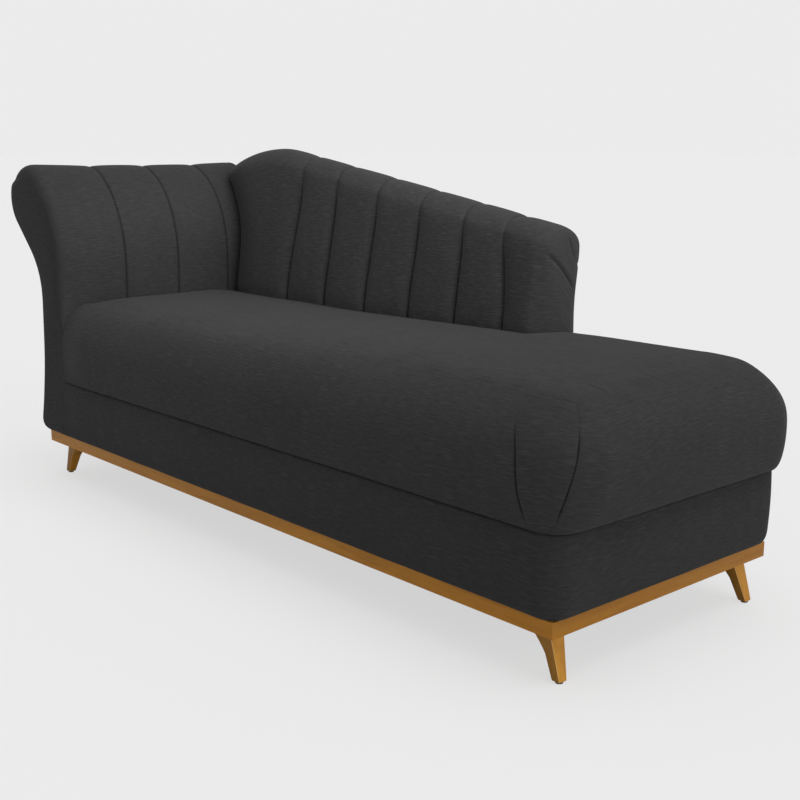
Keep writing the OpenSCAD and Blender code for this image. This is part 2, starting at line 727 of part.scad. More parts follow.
module back_middle_rails() {
    z0 = z_seat + 10;
    color(pine) placed() for (i = [0 : 2])
        translate([post_x[i] + post_t, plinth_d - 22, z0]) cube([post_x[i + 1] - post_x[i] - post_t, 22, 60]);
}
module back_board() {
    x0 = post_x[0];
    z_high = z_peak;
    color([0.5, 0.36, 0.22]) placed() intersection() {
        upright(under_ridge(back_pad_t, x0, pad_end_x, z_seam), seat_depth, plinth_d);
        crosswise([[board_front(z_seam), z_seam], [board_front(z_seam) + board_t, z_seam],
            [board_front(z_high) + board_t, z_high], [board_front(z_high), z_high]], x0, pad_end_x);
    }
}

// Where the back's seams stand at a height, with the first channel starting at the arm's face
function fan(z) = 1 - fan_share * smooth((z - lean_from) / 300);
function seam_x(i, z) = fan_x + (i - 4) * channel_w * fan(z);
function channel_x(i, t, z) =
    let(
        a = i == 0 ? arm_x(min(z, z_meet)) + arm_gap : seam_x(i, z),
        b = i == 6 ? pad_end_x : seam_x(i + 1, z))
    a + (b - a) * t;

// The back's front face: upright behind the seat, then leaning, with the seams let in
function face_y(z, sunk) = seat_depth + sunk + lean_step * max(0, z - lean_from);

// One upright section of the pad as [y, z]: up the front, over the top and down the rear edge to its lip
function back_outer(h, lip, sunk) =
    let(zc = h - top_round, yf = face_y(zc, sunk), a = (y_rear - yf) / 2)
    concat(
        [[face_y(z_seam, sunk), z_seam]],
        [for (i = [0 : 5]) let(z = lean_from + (zc - lean_from) * i / 6) [face_y(z, sunk), z]],
        [for (i = [0 : 8]) let(b = 180 * i / 8) [yf + a - a * cos(b), zc + top_round * sin(b)]],
        [[y_rear, lip]]);

// The same section's inner side: over the top rail and down the board's face
function back_inner(z, lip) =
    concat([[plinth_d, lip], [plinth_d, z]],
        [for (i = [0 : 6]) let(zi = z + (lean_from - z) * i / 6) [board_front(zi) - soft_gap, zi]],
        [[board_front(z_seam) - soft_gap, z_seam]]);
function back_points(s, outline) = [for (p = outline) [channel_x(s[0], s[1], p[1]), p[0], p[1]]];

// Stations along the back as [channel, share of its width, depth of the seam there]
peak_share = (back_peak_x - x_meet - arm_gap) / (seam_x(1, z_peak) - x_meet - arm_gap);
function back_stations() = concat(
    [for (u = [0, 0.07, 0.16, 0.28, 0.42, 0.56, 0.7, 0.85, 1]) let(t = peak_share * u)
        [0, t, t < 0.5 ? 24 * pow(1 - 2 * t, 3) : back_seam * fall(t)]],
    [for (u = [0.4, 0.75]) let(t = peak_share + (1 - peak_share) * u) [0, t, back_seam * fall(t)]],
    [for (i = [1 : 5]) for (t = [0, 0.07, 0.2, 0.5, 0.8, 0.93]) [i, t, back_seam * fall(t)]],
    [for (t = [0, 0.12, 0.35, 1]) [6, t, back_seam * pow(1 - t, 4)]]);

// Height at a station of the line that runs d below the ridge
function below_ridge(s, d) =
    let(h = ridge(channel_x(s[0], s[1], z_meet)))
    ridge(channel_x(s[0], s[1], ridge(channel_x(s[0], s[1], h)) - d)) - d;

module back_pad() {
    color(cloth) placed() thick_loft(
        [for (s = back_stations())
            back_points(s,
                reversed(back_outer(below_ridge(s, 0) - s[2] / 2, below_ridge(s, hood_drop), s[2])))],
        [for (s = back_stations())
            back_points(s, back_inner(below_ridge(s, back_pad_t) + hood_gap, below_ridge(s, hood_drop)))]);
}

// The back's free end: the section closed, then drawn in to a rounded face
module back_end_pad() {
    steps = [for (i = [0 : 5]) let(a = 90 * i / 5) [back_pad_t * sin(a), 22 * (1 - cos(a))]];
    middle = [(seat_depth + y_rear) / 2, (z_seam + z_end) / 2];
    color(cloth) placed() loft(
        [for (s = steps)
            let(x = pad_end_x + s[0], outer = back_outer(ridge(x) - s[1], ridge(x) - hood_drop, s[1]))
            [for (p = concat([[y_rear, z_seam]], reversed(outer))) [x, p[0], p[1]]]],
        [pad_end_x, middle[0], middle[1]],
        [back_l, middle[0], middle[1]]);
}
module back_rear_panel() {
    left = [for (i = [0 : 12]) let(z = z_seam + (z_meet - hood_drop - z_seam) * i / 12)
        [arm_x(z) + 2 * hood_gap, z]];
    top = [for (i = [0 : 8]) let(x = left[12][0] + (back_peak_x - left[12][0]) * i / 8)
        [x, ridge(x) - hood_drop - 3 * hood_gap]];
    color(cloth) placed() upright(concat(
        [[pad_end_x, z_seam], [pad_end_x, ridge(pad_end_x) - hood_drop - 3 * hood_gap]],
        reversed(top),
        reversed(left)), plinth_d, y_rear);
}

plinth_front();
plinth_rear();
plinth_arm_end();
plinth_foot_end();
leg_front_arm();
leg_front_foot();
leg_rear_arm();
leg_rear_foot();
glide_front_arm();
glide_front_foot();
glide_rear_arm();
glide_rear_foot();
corner_blocks();
hanger_bolts();
tee_nuts();
plinth_screws();
dust_cover();
base_rail_front();
base_rail_rear();
base_rail_arm_end();
base_rail_foot_end();
base_stretchers();
webbing_across();
webbing_along();
seat_felt();
seat_pad();
base_cover_front();
base_cover_foot_end();
base_cover_rear();
arm_rib_front();
arm_rib_middle();
arm_rib_rear();
arm_stretchers();
arm_board();
arm_pad();
arm_outer_panel();
arm_front_facing();
arm_rear_facing();
back_posts();
back_top_rail();
back_middle_rails();
back_board();
back_pad();
back_end_pad();
back_rear_panel();
post_bolts();
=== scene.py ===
"""A recamier with one scroll arm, a sloping channelled back, a deep crowned seat and a honey-stained timber stand.

Shapes are worked out in millimetres from the plinth's front corner at the arm end, with X towards the foot end,
Y towards the back and Z up. Solid.build() moves them to the shared frame, in metres.
"""

import logging
import math
from dataclasses import dataclass, field, fields, replace
from enum import Enum

import bmesh
import bpy
import numpy as np
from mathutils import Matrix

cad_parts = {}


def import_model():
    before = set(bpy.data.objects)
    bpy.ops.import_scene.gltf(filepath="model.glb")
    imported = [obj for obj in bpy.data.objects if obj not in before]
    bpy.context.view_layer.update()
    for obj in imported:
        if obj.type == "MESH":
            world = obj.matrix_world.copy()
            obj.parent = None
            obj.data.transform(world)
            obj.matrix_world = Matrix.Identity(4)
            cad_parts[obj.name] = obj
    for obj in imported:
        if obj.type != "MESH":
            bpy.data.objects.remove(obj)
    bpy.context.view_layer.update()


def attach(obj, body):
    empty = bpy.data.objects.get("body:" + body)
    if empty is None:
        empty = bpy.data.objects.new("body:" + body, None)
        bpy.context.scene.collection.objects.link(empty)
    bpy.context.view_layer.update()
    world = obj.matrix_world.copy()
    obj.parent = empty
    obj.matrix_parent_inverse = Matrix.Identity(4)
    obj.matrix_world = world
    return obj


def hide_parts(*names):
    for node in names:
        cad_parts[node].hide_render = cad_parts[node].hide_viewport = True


LOG = logging.getLogger("recamier")
Array = np.ndarray
Socket = bpy.types.NodeSocket
Triple = tuple[float, float, float]
Pair = tuple[float, float]
# The plinth's front corner at the arm end, seen from the middle of the whole
CORNER = np.array((768.0, 275.0, 0.0))
# The plinth's length, depth and top, and the height of the seam between the base and the seat
PLINTH_L, PLINTH_D, PLINTH_TOP, SEAM_Z = 1600.0, 550.0, 109.0, 243.0
# Height of the cloth's rounded lower edge over the plinth
LOW_ROUND = 30.0
# How far to each side of a seam its puckers reach
SEAM_REACH = 12.0


def smooth(t: Array | float) -> Array | float:
    """Three t squared less two t cubed, with t held between 0 and 1."""
    u = np.clip(t, 0.0, 1.0)
    return u * u * (3.0 - 2.0 * u)


def arc(centre: Pair, radius: float, start: float, end: float, steps: int) -> Array:
    """Points on a circle's arc: centre plus radius times the cosine and sine of each angle.

    Args:
        centre: The circle's middle.
        radius: The circle's radius.
        start: First angle, in degrees.
        end: Last angle, in degrees.
        steps: Number of steps between them.

    Returns:
        An array of steps + 1 points.
    """
    a = np.radians(np.linspace(start, end, steps + 1))
    return np.stack((centre[0] + radius * np.cos(a), centre[1] + radius * np.sin(a)), 1)


def line(first: Pair, last: Pair, steps: int) -> Array:
    """Evenly spaced points from first to last, steps + 1 of them."""
    return np.linspace(np.array(first, float), np.array(last, float), steps + 1)


def closed(rings: Array) -> Array:
    """The rings with the first point of each repeated at its end."""
    return np.concatenate((rings, rings[:, :1]), 1)


def ripple(points: Array, length: float, seed: int) -> Array:
    """A soft uneven field: the mean of seven sines, each along its own direction, with waves about length long.

    Args:
        points: Places as an array of three columns.
        length: Usual length of a wave, in the points' unit.
        seed: Picks the directions and phases.

    Returns:
        One value from -1 to 1 for each place.
    """
    rng = np.random.default_rng(seed)
    ways = rng.normal(size=(7, 3))
    ways *= (2 * math.pi / length * rng.uniform(0.7, 1.4, 7) / np.linalg.norm(ways, axis=1))[:, None]
    return np.sin(points @ ways.T + rng.uniform(0, 2 * math.pi, 7)).mean(1)


def near_line(points: Array, path: Array) -> tuple[Array, Array]:
    """Distance from each point to a path of straight legs, and how far along the path its nearest place is.

    Args:
        points: Places, one a row.
        path: The path's corners, one a row.

    Returns:
        The distances, and the shares of the path's length.
    """
    legs = np.diff(path, axis=0)
    lengths = np.linalg.norm(legs, axis=1)
    before = np.concatenate(((0.0,), np.cumsum(lengths)))
    best = np.full(len(points), np.inf)
    share = np.zeros(len(points))
    for start, leg, length, run in zip(path, legs, lengths, before):
        t = np.clip((points - start) @ leg / length**2, 0.0, 1.0)
        away = np.linalg.norm(points - start - t[:, None] * leg, axis=1)
        closer = away < best
        share = np.where(closer, (run + t * length) / before[-1], share)
        best = np.where(closer, away, best)
    return best, share


@dataclass
class Grid:
    """A grid of points on a skin, with what each point carries.

    seam is 1 on a seam and darkens the cloth there, as the stitch line and as painted shade in its groove, near fades
    from 1 at a seam to 0 a few centimetres away, held is 1 where the cloth can't move, and mark numbers the seam that a
    point lies on, so that the edge between two points of one seam is sharp.
    along and across are millimetres of cloth in the weft's direction and over it, and plain is 1 where the weave
    runs straight on instead, as on a flat top or a facing.
    """

    points: Array
    seam: Array | float = 0.0
    near: Array | float = 0.0
    held: Array | float = 0.0
    mark: Array | int = 0
    along: Array | float = 0.0
    across: Array | float = 0.0
    plain: Array | float = 0.0


def run_length(points: Array, axis: int) -> Array:
    """Length of the path up to each point of a grid, along one of its two axes, starting at 0.

    Args:
        points: A grid of points.
        axis: The axis along which the paths run.

    Returns:
        The lengths, one for each point.
    """
    steps = np.linalg.norm(np.diff(points, axis=axis), axis=-1)
    start = np.zeros_like(steps.take([0], axis))
    return np.concatenate((start, np.cumsum(steps, axis=axis)), axis)


class Rings:
    """Rings of one skin, gathered one by one with what their points carry."""

    def __init__(self) -> None:
        """Starts without rings."""
        self.rows: list[Array] = []
        self.carried: dict[str, list[Array]] = {name: [] for name in ("seam", "near", "held", "mark", "plain")}

    def add(self, points: Array, **carried: Array | float) -> None:
        """Adds a ring, with 0 for what isn't given.

        Args:
            points: The ring's points.
            carried: Values for the ring by name, each for all or for every point.
        """
        self.rows.append(points)
        for name, kept in self.carried.items():
            kept.append(np.broadcast_to(carried.get(name, 0.0), len(points)).astype(float))

    def grid(self, points: Array, along: Array, across: Array) -> Grid:
        """A grid of points that came from the rings, whose rings may be closed.

        Args:
            points: The points of all rings.
            along: Millimetres of cloth along the weft.
            across: Millimetres of cloth over it.

        Returns:
            The grid.
        """
        kept = {name: np.array(values) for name, values in self.carried.items()}
        if points.shape[1] > len(self.rows[0]):
            kept = {name: closed(values) for name, values in kept.items()}
        return Grid(points, along=along, across=across, **kept)


def placed(name: str, data: bpy.types.ID) -> bpy.types.Object:
    """A new object with the data, in the scene.

    Args:
        name: The object's name.
        data: Its mesh, lamp or camera.

    Returns:
        The object.
    """
    made = bpy.data.objects.new(name, data)
    bpy.context.scene.collection.objects.link(made)
    return made


def read(values: bpy.types.bpy_prop_collection, key: str, width: int = 3) -> Array:
    """One property of all members, as rows of width numbers, or as one plain column if width is 1.

    Args:
        values: The members, such as a mesh's points.
        key: The property's name.
        width: How many numbers each member has.

    Returns:
        The numbers as an array.
    """
    found = np.empty(len(values) * width, np.float32)
    values.foreach_get(key, found)
    return found.reshape(-1, width).astype(float) if width > 1 else found


@dataclass
class Solid:
    """One closed piece, gathered from grids in millimetres and welded where they meet."""

    name: str
    grids: list[Grid]

    def gathered(self, name: str) -> Array:
        """One column of what the points carry, over all grids."""
        return np.concatenate([
            np.broadcast_to(getattr(g, name), g.points.shape[:2]).ravel() for g in self.grids]).astype(float)

    def cells(self) -> Array:
        """Each grid's cells as rows of four point numbers: i,j then i+1,j then i+1,j+1 then i,j+1.

        Returns:
            The rows of point numbers.
        """
        found, start = [], 0
        for g in self.grids:
            n, m = g.points.shape[:2]
            k = np.arange(n * m).reshape(n, m) + start
            found.append(np.stack((k[:-1, :-1], k[1:, :-1], k[1:, 1:], k[:-1, 1:]), -1).reshape(-1, 4))
            start += n * m
        return np.concatenate(found)

    @staticmethod
    def carry(mesh: bpy.types.Mesh, values: dict[str, Array]) -> None:
        """Keeps what the points carry as the attributes seam, near and weave, and creases the edges along a seam.

        Args:
            mesh: The welded mesh.
            values: What its points carry, by name.
        """
        for name in ("seam", "near"):
            kept = mesh.attributes.new(name, "FLOAT", "POINT")
            kept.data.foreach_set("value", values[name].astype(np.float32))
        weave = np.stack((values["along"] / 1000, values["across"] / 1000, values["plain"]), 1)
        kept = mesh.attributes.new("weave", "FLOAT_VECTOR", "POINT")
        kept.data.foreach_set("vector", weave.astype(np.float32).ravel())
        ends = np.empty(len(mesh.edges) * 2, int)
        mesh.edges.foreach_get("vertices", ends)
        first, second = values["mark"][ends.reshape(-1, 2)].T
        sharp = ((first == second) & (first > 0)).astype(np.float32)
        mesh.attributes.new("crease_edge", "FLOAT", "EDGE").data.foreach_set("value", sharp)

    def build(self) -> bpy.types.Object:
        """Welds the points that are the same to 0.01 mm, drops cells without width, and makes the object.

        Returns:
            The piece, in the shared frame, with the attributes seam, near and weave and the vertex group held.
        """
        loose = np.concatenate([g.points.reshape(-1, 3) for g in self.grids])
        _, first, to = np.unique(np.round(loose, 2), axis=0, return_index=True, return_inverse=True)
        to = to.ravel()
        cells = to[self.cells()]
        same = cells == np.roll(cells, -1, axis=1)
        crossed = (cells[:, 0] == cells[:, 2]) | (cells[:, 1] == cells[:, 3])
        quads = cells[~same.any(1) & ~crossed]
        thin = cells[(same.sum(1) == 1) & ~crossed]
        corner = np.argmax(thin == np.roll(thin, -1, axis=1), axis=1) if len(thin) else np.zeros(0, int)
        tris = thin[np.arange(len(thin))[:, None], (corner[:, None] + np.arange(1, 4)) % 4]
        mesh = bpy.data.meshes.new(self.name)
        mesh.from_pydata(((loose[first] - CORNER) / 1000).tolist(), [], quads.tolist() + tris.tolist())
        work = bmesh.new()
        work.from_mesh(mesh)
        bmesh.ops.recalc_face_normals(work, faces=work.faces)
        if work.calc_volume(signed=True) < 0:
            bmesh.ops.reverse_faces(work, faces=work.faces)
        open_edges = sum(not e.is_manifold for e in work.edges)
        work.to_mesh(mesh)
        work.free()
        mesh.shade_smooth()
        values = {f.name: np.full(len(first), -np.inf) for f in fields(Grid)[1:]}
        for name, kept in values.items():
            np.maximum.at(kept, to, self.gathered(name))
        self.carry(mesh, values)
        piece = placed(self.name, mesh)
        group = piece.vertex_groups.new(name="held")
        firmness = np.round(values["held"], 1)
        for level in np.unique(firmness[firmness > 0]):
            group.add(np.flatnonzero(firmness == level).tolist(), float(level), "REPLACE")
        LOG.info("%s: %d points, %d open edges", self.name, len(first), open_edges)
        return piece


def put(mesh: bpy.types.Mesh, points: Array) -> None:
    """Moves the mesh's points to the given places, in metres."""
    mesh.vertices.foreach_set("co", points.astype(np.float32).ravel())
    mesh.update()


@dataclass(frozen=True)
class Press:
    """A pleat or pulled fold pressed into the free end of a cover, which looks along X.

    A point whose y and z lie at distance d from the path sinks by depth times e to the power -(d / width) squared,
    and the line dies out over its first and last fifth. Painted shade darkens the fold along it, by dark.
    """

    x: float
    path: tuple[Pair, ...]
    depth: float
    width: float
    # How much painted shade darkens the fold
    dark: float = 0.6


@dataclass(frozen=True)
class Filling:
    """How a padded cover gets its fullness: a cloth simulation blows it up between its seams.

    Air pushes outwards for some frames without gravity while the held points stay, no point moves further than cap
    millimetres, and the result is written into the mesh. Two subdivisions, the small unevenness of hand-pulled
    cloth, and the pressed lines come after it. short and long are the lengths of the puckers and of the waves.
    """

    cap: float
    pressure: float = 4.0
    frames: int = 20
    stiffness: float = 15.0
    levels: int = 2
    pucker: float = 0.7
    short: float = 24.0
    waves: float = 0.8
    long: float = 170.0

    def swell(self, piece: bpy.types.Object) -> None:
        """Runs the cloth simulation on the piece and keeps its result.

        Args:
            piece: The piece, with its vertex group held.
        """
        scene = bpy.context.scene
        before = read(piece.data.vertices, "co")
        cloth = piece.modifiers.new("cloth", "CLOTH")
        stuff = cloth.settings
        stuff.quality, stuff.mass, stuff.bending_stiffness = 4, 0.3, 1.0
        stuff.tension_stiffness = stuff.compression_stiffness = self.stiffness
        stuff.shear_stiffness = self.stiffness / 2
        stuff.use_pressure, stuff.uniform_pressure_force = True, self.pressure
        stuff.effector_weights.gravity = 0.0
        stuff.vertex_group_mass = "held"
        cloth.collision_settings.use_collision = False
        cloth.point_cache.frame_start, cloth.point_cache.frame_end = 1, self.frames
        for frame in range(1, self.frames + 1):
            scene.frame_set(frame)
        blown = piece.evaluated_get(bpy.context.evaluated_depsgraph_get())
        moved = read(blown.to_mesh().vertices, "co") - before
        blown.to_mesh_clear()
        piece.modifiers.remove(cloth)
        scene.frame_set(1)
        size = np.linalg.norm(moved, axis=1, keepdims=True)
        LOG.info("%s swells by up to %.1f mm, mean %.1f mm", piece.name, size.max() * 1000, size.mean() * 1000)
        limit = self.cap / 1000
        moved *= limit * np.tanh(size / limit) / np.maximum(size, 1e-9)
        put(piece.data, before + moved)

    def subdivide(self, piece: bpy.types.Object) -> None:
        """Subdivides the piece and keeps the finer mesh, with its attributes.

        Args:
            piece: The piece.
        """
        fine = piece.modifiers.new("subdivision", "SUBSURF")
        fine.levels = fine.render_levels = self.levels
        fine.use_limit_surface = True
        graph = bpy.context.evaluated_depsgraph_get()
        made = bpy.data.meshes.new_from_object(
            piece.evaluated_get(graph), preserve_all_data_layers=True, depsgraph=graph)
        coarse = piece.data
        piece.modifiers.clear()
        piece.data = made
        bpy.data.meshes.remove(coarse)
        made.name = piece.name
        crease = made.attributes.get("crease_edge")
        if crease:
            made.attributes.remove(crease)
        made.shade_smooth()

    def finish(self, piece: bpy.types.Object, presses: list[Press], seed: int) -> None:
        """Each point sinks along its normal by pucker times the nearness of a seam times a short ripple, and rises
        and falls by waves times a long ripple, away from the seams.

        Args:
            piece: The piece.
            presses: Lines pressed into it.
            seed: Picks the ripples.
        """
        self.swell(piece)
        self.subdivide(piece)
        mesh = piece.data
        points = read(mesh.vertices, "co")
        normals = read(mesh.vertex_normals, "vector")
        seam, near = (read(mesh.attributes[name].data, "value", 1) for name in ("seam", "near"))
        plinth = points * 1000 + CORNER
        rise = self.waves * ripple(plinth, self.long, seed) * (1 - near) - self.pucker * near * (
            0.5 + 0.8 * ripple(plinth, self.short, seed + 1))
        for p in presses:
            away, share = near_line(plinth[:, 1:], np.array(p.path))
            ends = smooth(share / 0.2) * smooth((1 - share) / 0.2) * (plinth[:, 0] > p.x)
            rise -= p.depth * ends * np.exp(-(away / p.width) ** 2)
            # Painted shade along the pressed fold
            seam = np.maximum(seam, p.dark * ends * np.exp(-(away / (0.55 * p.width)) ** 2))
        put(mesh, points + normals * rise[:, None] / 1000)
        mesh.attributes["seam"].data.foreach_set("value", seam.astype(np.float32))


class Grain(Enum):
    """The axis that a timber's grain follows, as how fast the pattern changes along X, Y and Z."""

    X = (5.0, 75.0, 75.0)
    Y = (75.0, 5.0, 75.0)
    Z = (75.0, 75.0, 5.0)


class Nodes:
    """A node tree being put together."""

    def __init__(self, tree: bpy.types.NodeTree) -> None:
        """Takes the tree to which the nodes go."""
        self.tree = tree

    def node(self, kind: str, **settings: object) -> bpy.types.Node:
        """A new node of a kind, with its properties set.

        Args:
            kind: The node's type, without its ShaderNode prefix.
            settings: Its properties by name.

        Returns:
            The node.
        """
        made = self.tree.nodes.new("ShaderNode" + kind)
        for name, value in settings.items():
            setattr(made, name, value)
        return made

    def give(self, value: Socket | float | tuple, socket: Socket) -> None:
        """Links a socket to another, or sets its value.

        Args:
            value: The other socket, or the value.
            socket: The input that takes it.
        """
        if isinstance(value, bpy.types.NodeSocket):
            self.tree.links.new(value, socket)
        else:
            socket.default_value = value

    def fed(self, kind: str, *values: Socket | float | tuple, **settings: object) -> bpy.types.Node:
        """A new node with its properties set and its first inputs given.

        Args:
            kind: The node's type, without its ShaderNode prefix.
            values: What its first inputs get.
            settings: Its properties by name.

        Returns:
            The node.
        """
        made = self.node(kind, **settings)
        for value, socket in zip(values, made.inputs):
            self.give(value, socket)
        return made

    def math(self, operation: str, a: Socket | float, b: Socket | float = 0.0, c: Socket | float = 0.0) -> Socket:
        """The result of a Math node on up to three values."""
        return self.fed("Math", a, b, c, operation=operation).outputs[0]


class Paint(Nodes):
    """A material being put together from nodes that read object coordinates."""

    def __init__(self, name: str) -> None:
        """Starts a material with its shader and its object coordinates."""
        self.material = bpy.data.materials.new(name)
        self.material.use_nodes = True
        super().__init__(self.material.node_tree)
        self.shader = self.tree.nodes["Principled BSDF"]
        self.place = self.node("TexCoord").outputs["Object"]

    def looks(self) -> bpy.types.bpy_prop_collection:
        """The three parts of the direction in which the surface faces."""
        return self.fed("SeparateXYZ", self.node("NewGeometry").outputs["Normal"]).outputs

    def scaled(self, colour: Socket | tuple, share: Socket) -> Socket:
        """A colour times a share.

        Args:
            colour: The colour.
            share: The share.

        Returns:
            The scaled colour.
        """
        made = self.fed("VectorMath", colour, operation="SCALE")
        self.give(share, made.inputs["Scale"])
        return made.outputs[0]

    def noise(self, scale: Triple, detail: float = 2.0, distortion: float = 0.0, place: Socket | None = None,
              flat: bool = False) -> Socket:
        """Noise from 0 to 1.

        Args:
            scale: How many times a metre it changes on each axis.
            detail: Its detail.
            distortion: Its distortion.
            place: The coordinates, if not the object's.
            flat: Whether it has no third axis.

        Returns:
            The noise.
        """
        made = self.node("TexNoise", noise_dimensions="2D" if flat else "3D")
        spot = self.fed("VectorMath", place or self.place, scale, operation="MULTIPLY").outputs[0]
        for name, value in (("Vector", spot), ("Scale", 1.0), ("Detail", detail), ("Distortion", distortion)):
            self.give(value, made.inputs[name])
        return made.outputs["Fac"]

    def span(self, value: Socket, low: float, high: float, to_low: float = 0.0, to_high: float = 1.0) -> Socket:
        """Maps low to to_low and high to to_high along a smooth curve, and holds it outside them."""
        made = self.fed("MapRange", value, low, high, to_low, to_high, interpolation_type="SMOOTHSTEP")
        return made.outputs["Result"]

    def blend(self, share: Socket | float, a: Socket | tuple, b: Socket | tuple) -> Socket:
        """Colour a, turning into colour b as share goes from 0 to 1.

        Args:
            share: How much of b there is.
            a: The first colour.
            b: The second colour.

        Returns:
            The mixed colour.
        """
        made = self.node("Mix", data_type="RGBA")
        self.give(share, made.inputs["Factor"])
        colours = [s for s in made.inputs if s.type == "RGBA"]
        self.give(a, colours[0])
        self.give(b, colours[1])
        return next(s for s in made.outputs if s.type == "RGBA")

    def uneven(self, marks: Socket, shade: Triple, contrast: float) -> Socket:
        """A shade, darker by the contrast where the marks are low."""
        low = tuple(c * (1 - contrast) for c in shade)
        return self.blend(self.span(marks, 0.35, 0.65), (*low, 1.0), (*shade, 1.0))

    def bump(self, height: Socket, distance: float, strength: float) -> Socket:
        """A normal bent by a height field whose full range is distance metres.

        Args:
            height: The height field, from 0 to 1.
            distance: Its full range.
            strength: How much of the bending shows.

        Returns:
            The bent normal.
        """
        made = self.node("Bump")
        for name, value in (("Strength", strength), ("Distance", distance), ("Height", height)):
            self.give(value, made.inputs[name])
        return made.outputs["Normal"]

    def done(self, colour: Socket | tuple, roughness: Socket | float, normal: Socket | None = None,
             **constants: float) -> bpy.types.Material:
        """Joins everything to the shader.

        Args:
            colour: The base colour.
            roughness: The roughness.
            normal: The bent normal, if any.
            constants: Other inputs of the shader by name, with underscores for spaces.

        Returns:
            The finished material.
        """
        self.give(colour, self.shader.inputs["Base Color"])
        self.give(roughness, self.shader.inputs["Roughness"])
        if normal is not None:
            self.give(normal, self.shader.inputs["Normal"])
        for name, value in constants.items():
            self.shader.inputs[name.replace("_", " ")].default_value = value
        return self.material


class PaintedLightTone(Enum):
    """Painted light and shade: how much lighter or darker each piece's cloth is painted, as a share of its colour."""

    SEAT = 1.0
    BACK = 1.52
    ARM = 1.08
    BASE = 0.88


# Painted shade: how much darker faces that look along X and faces that look up are painted, as shares
PAINTED_FACE_SHADE = {PaintedLightTone.ARM: (0.0, 0.16), PaintedLightTone.BACK: (0.24, 0.24)}


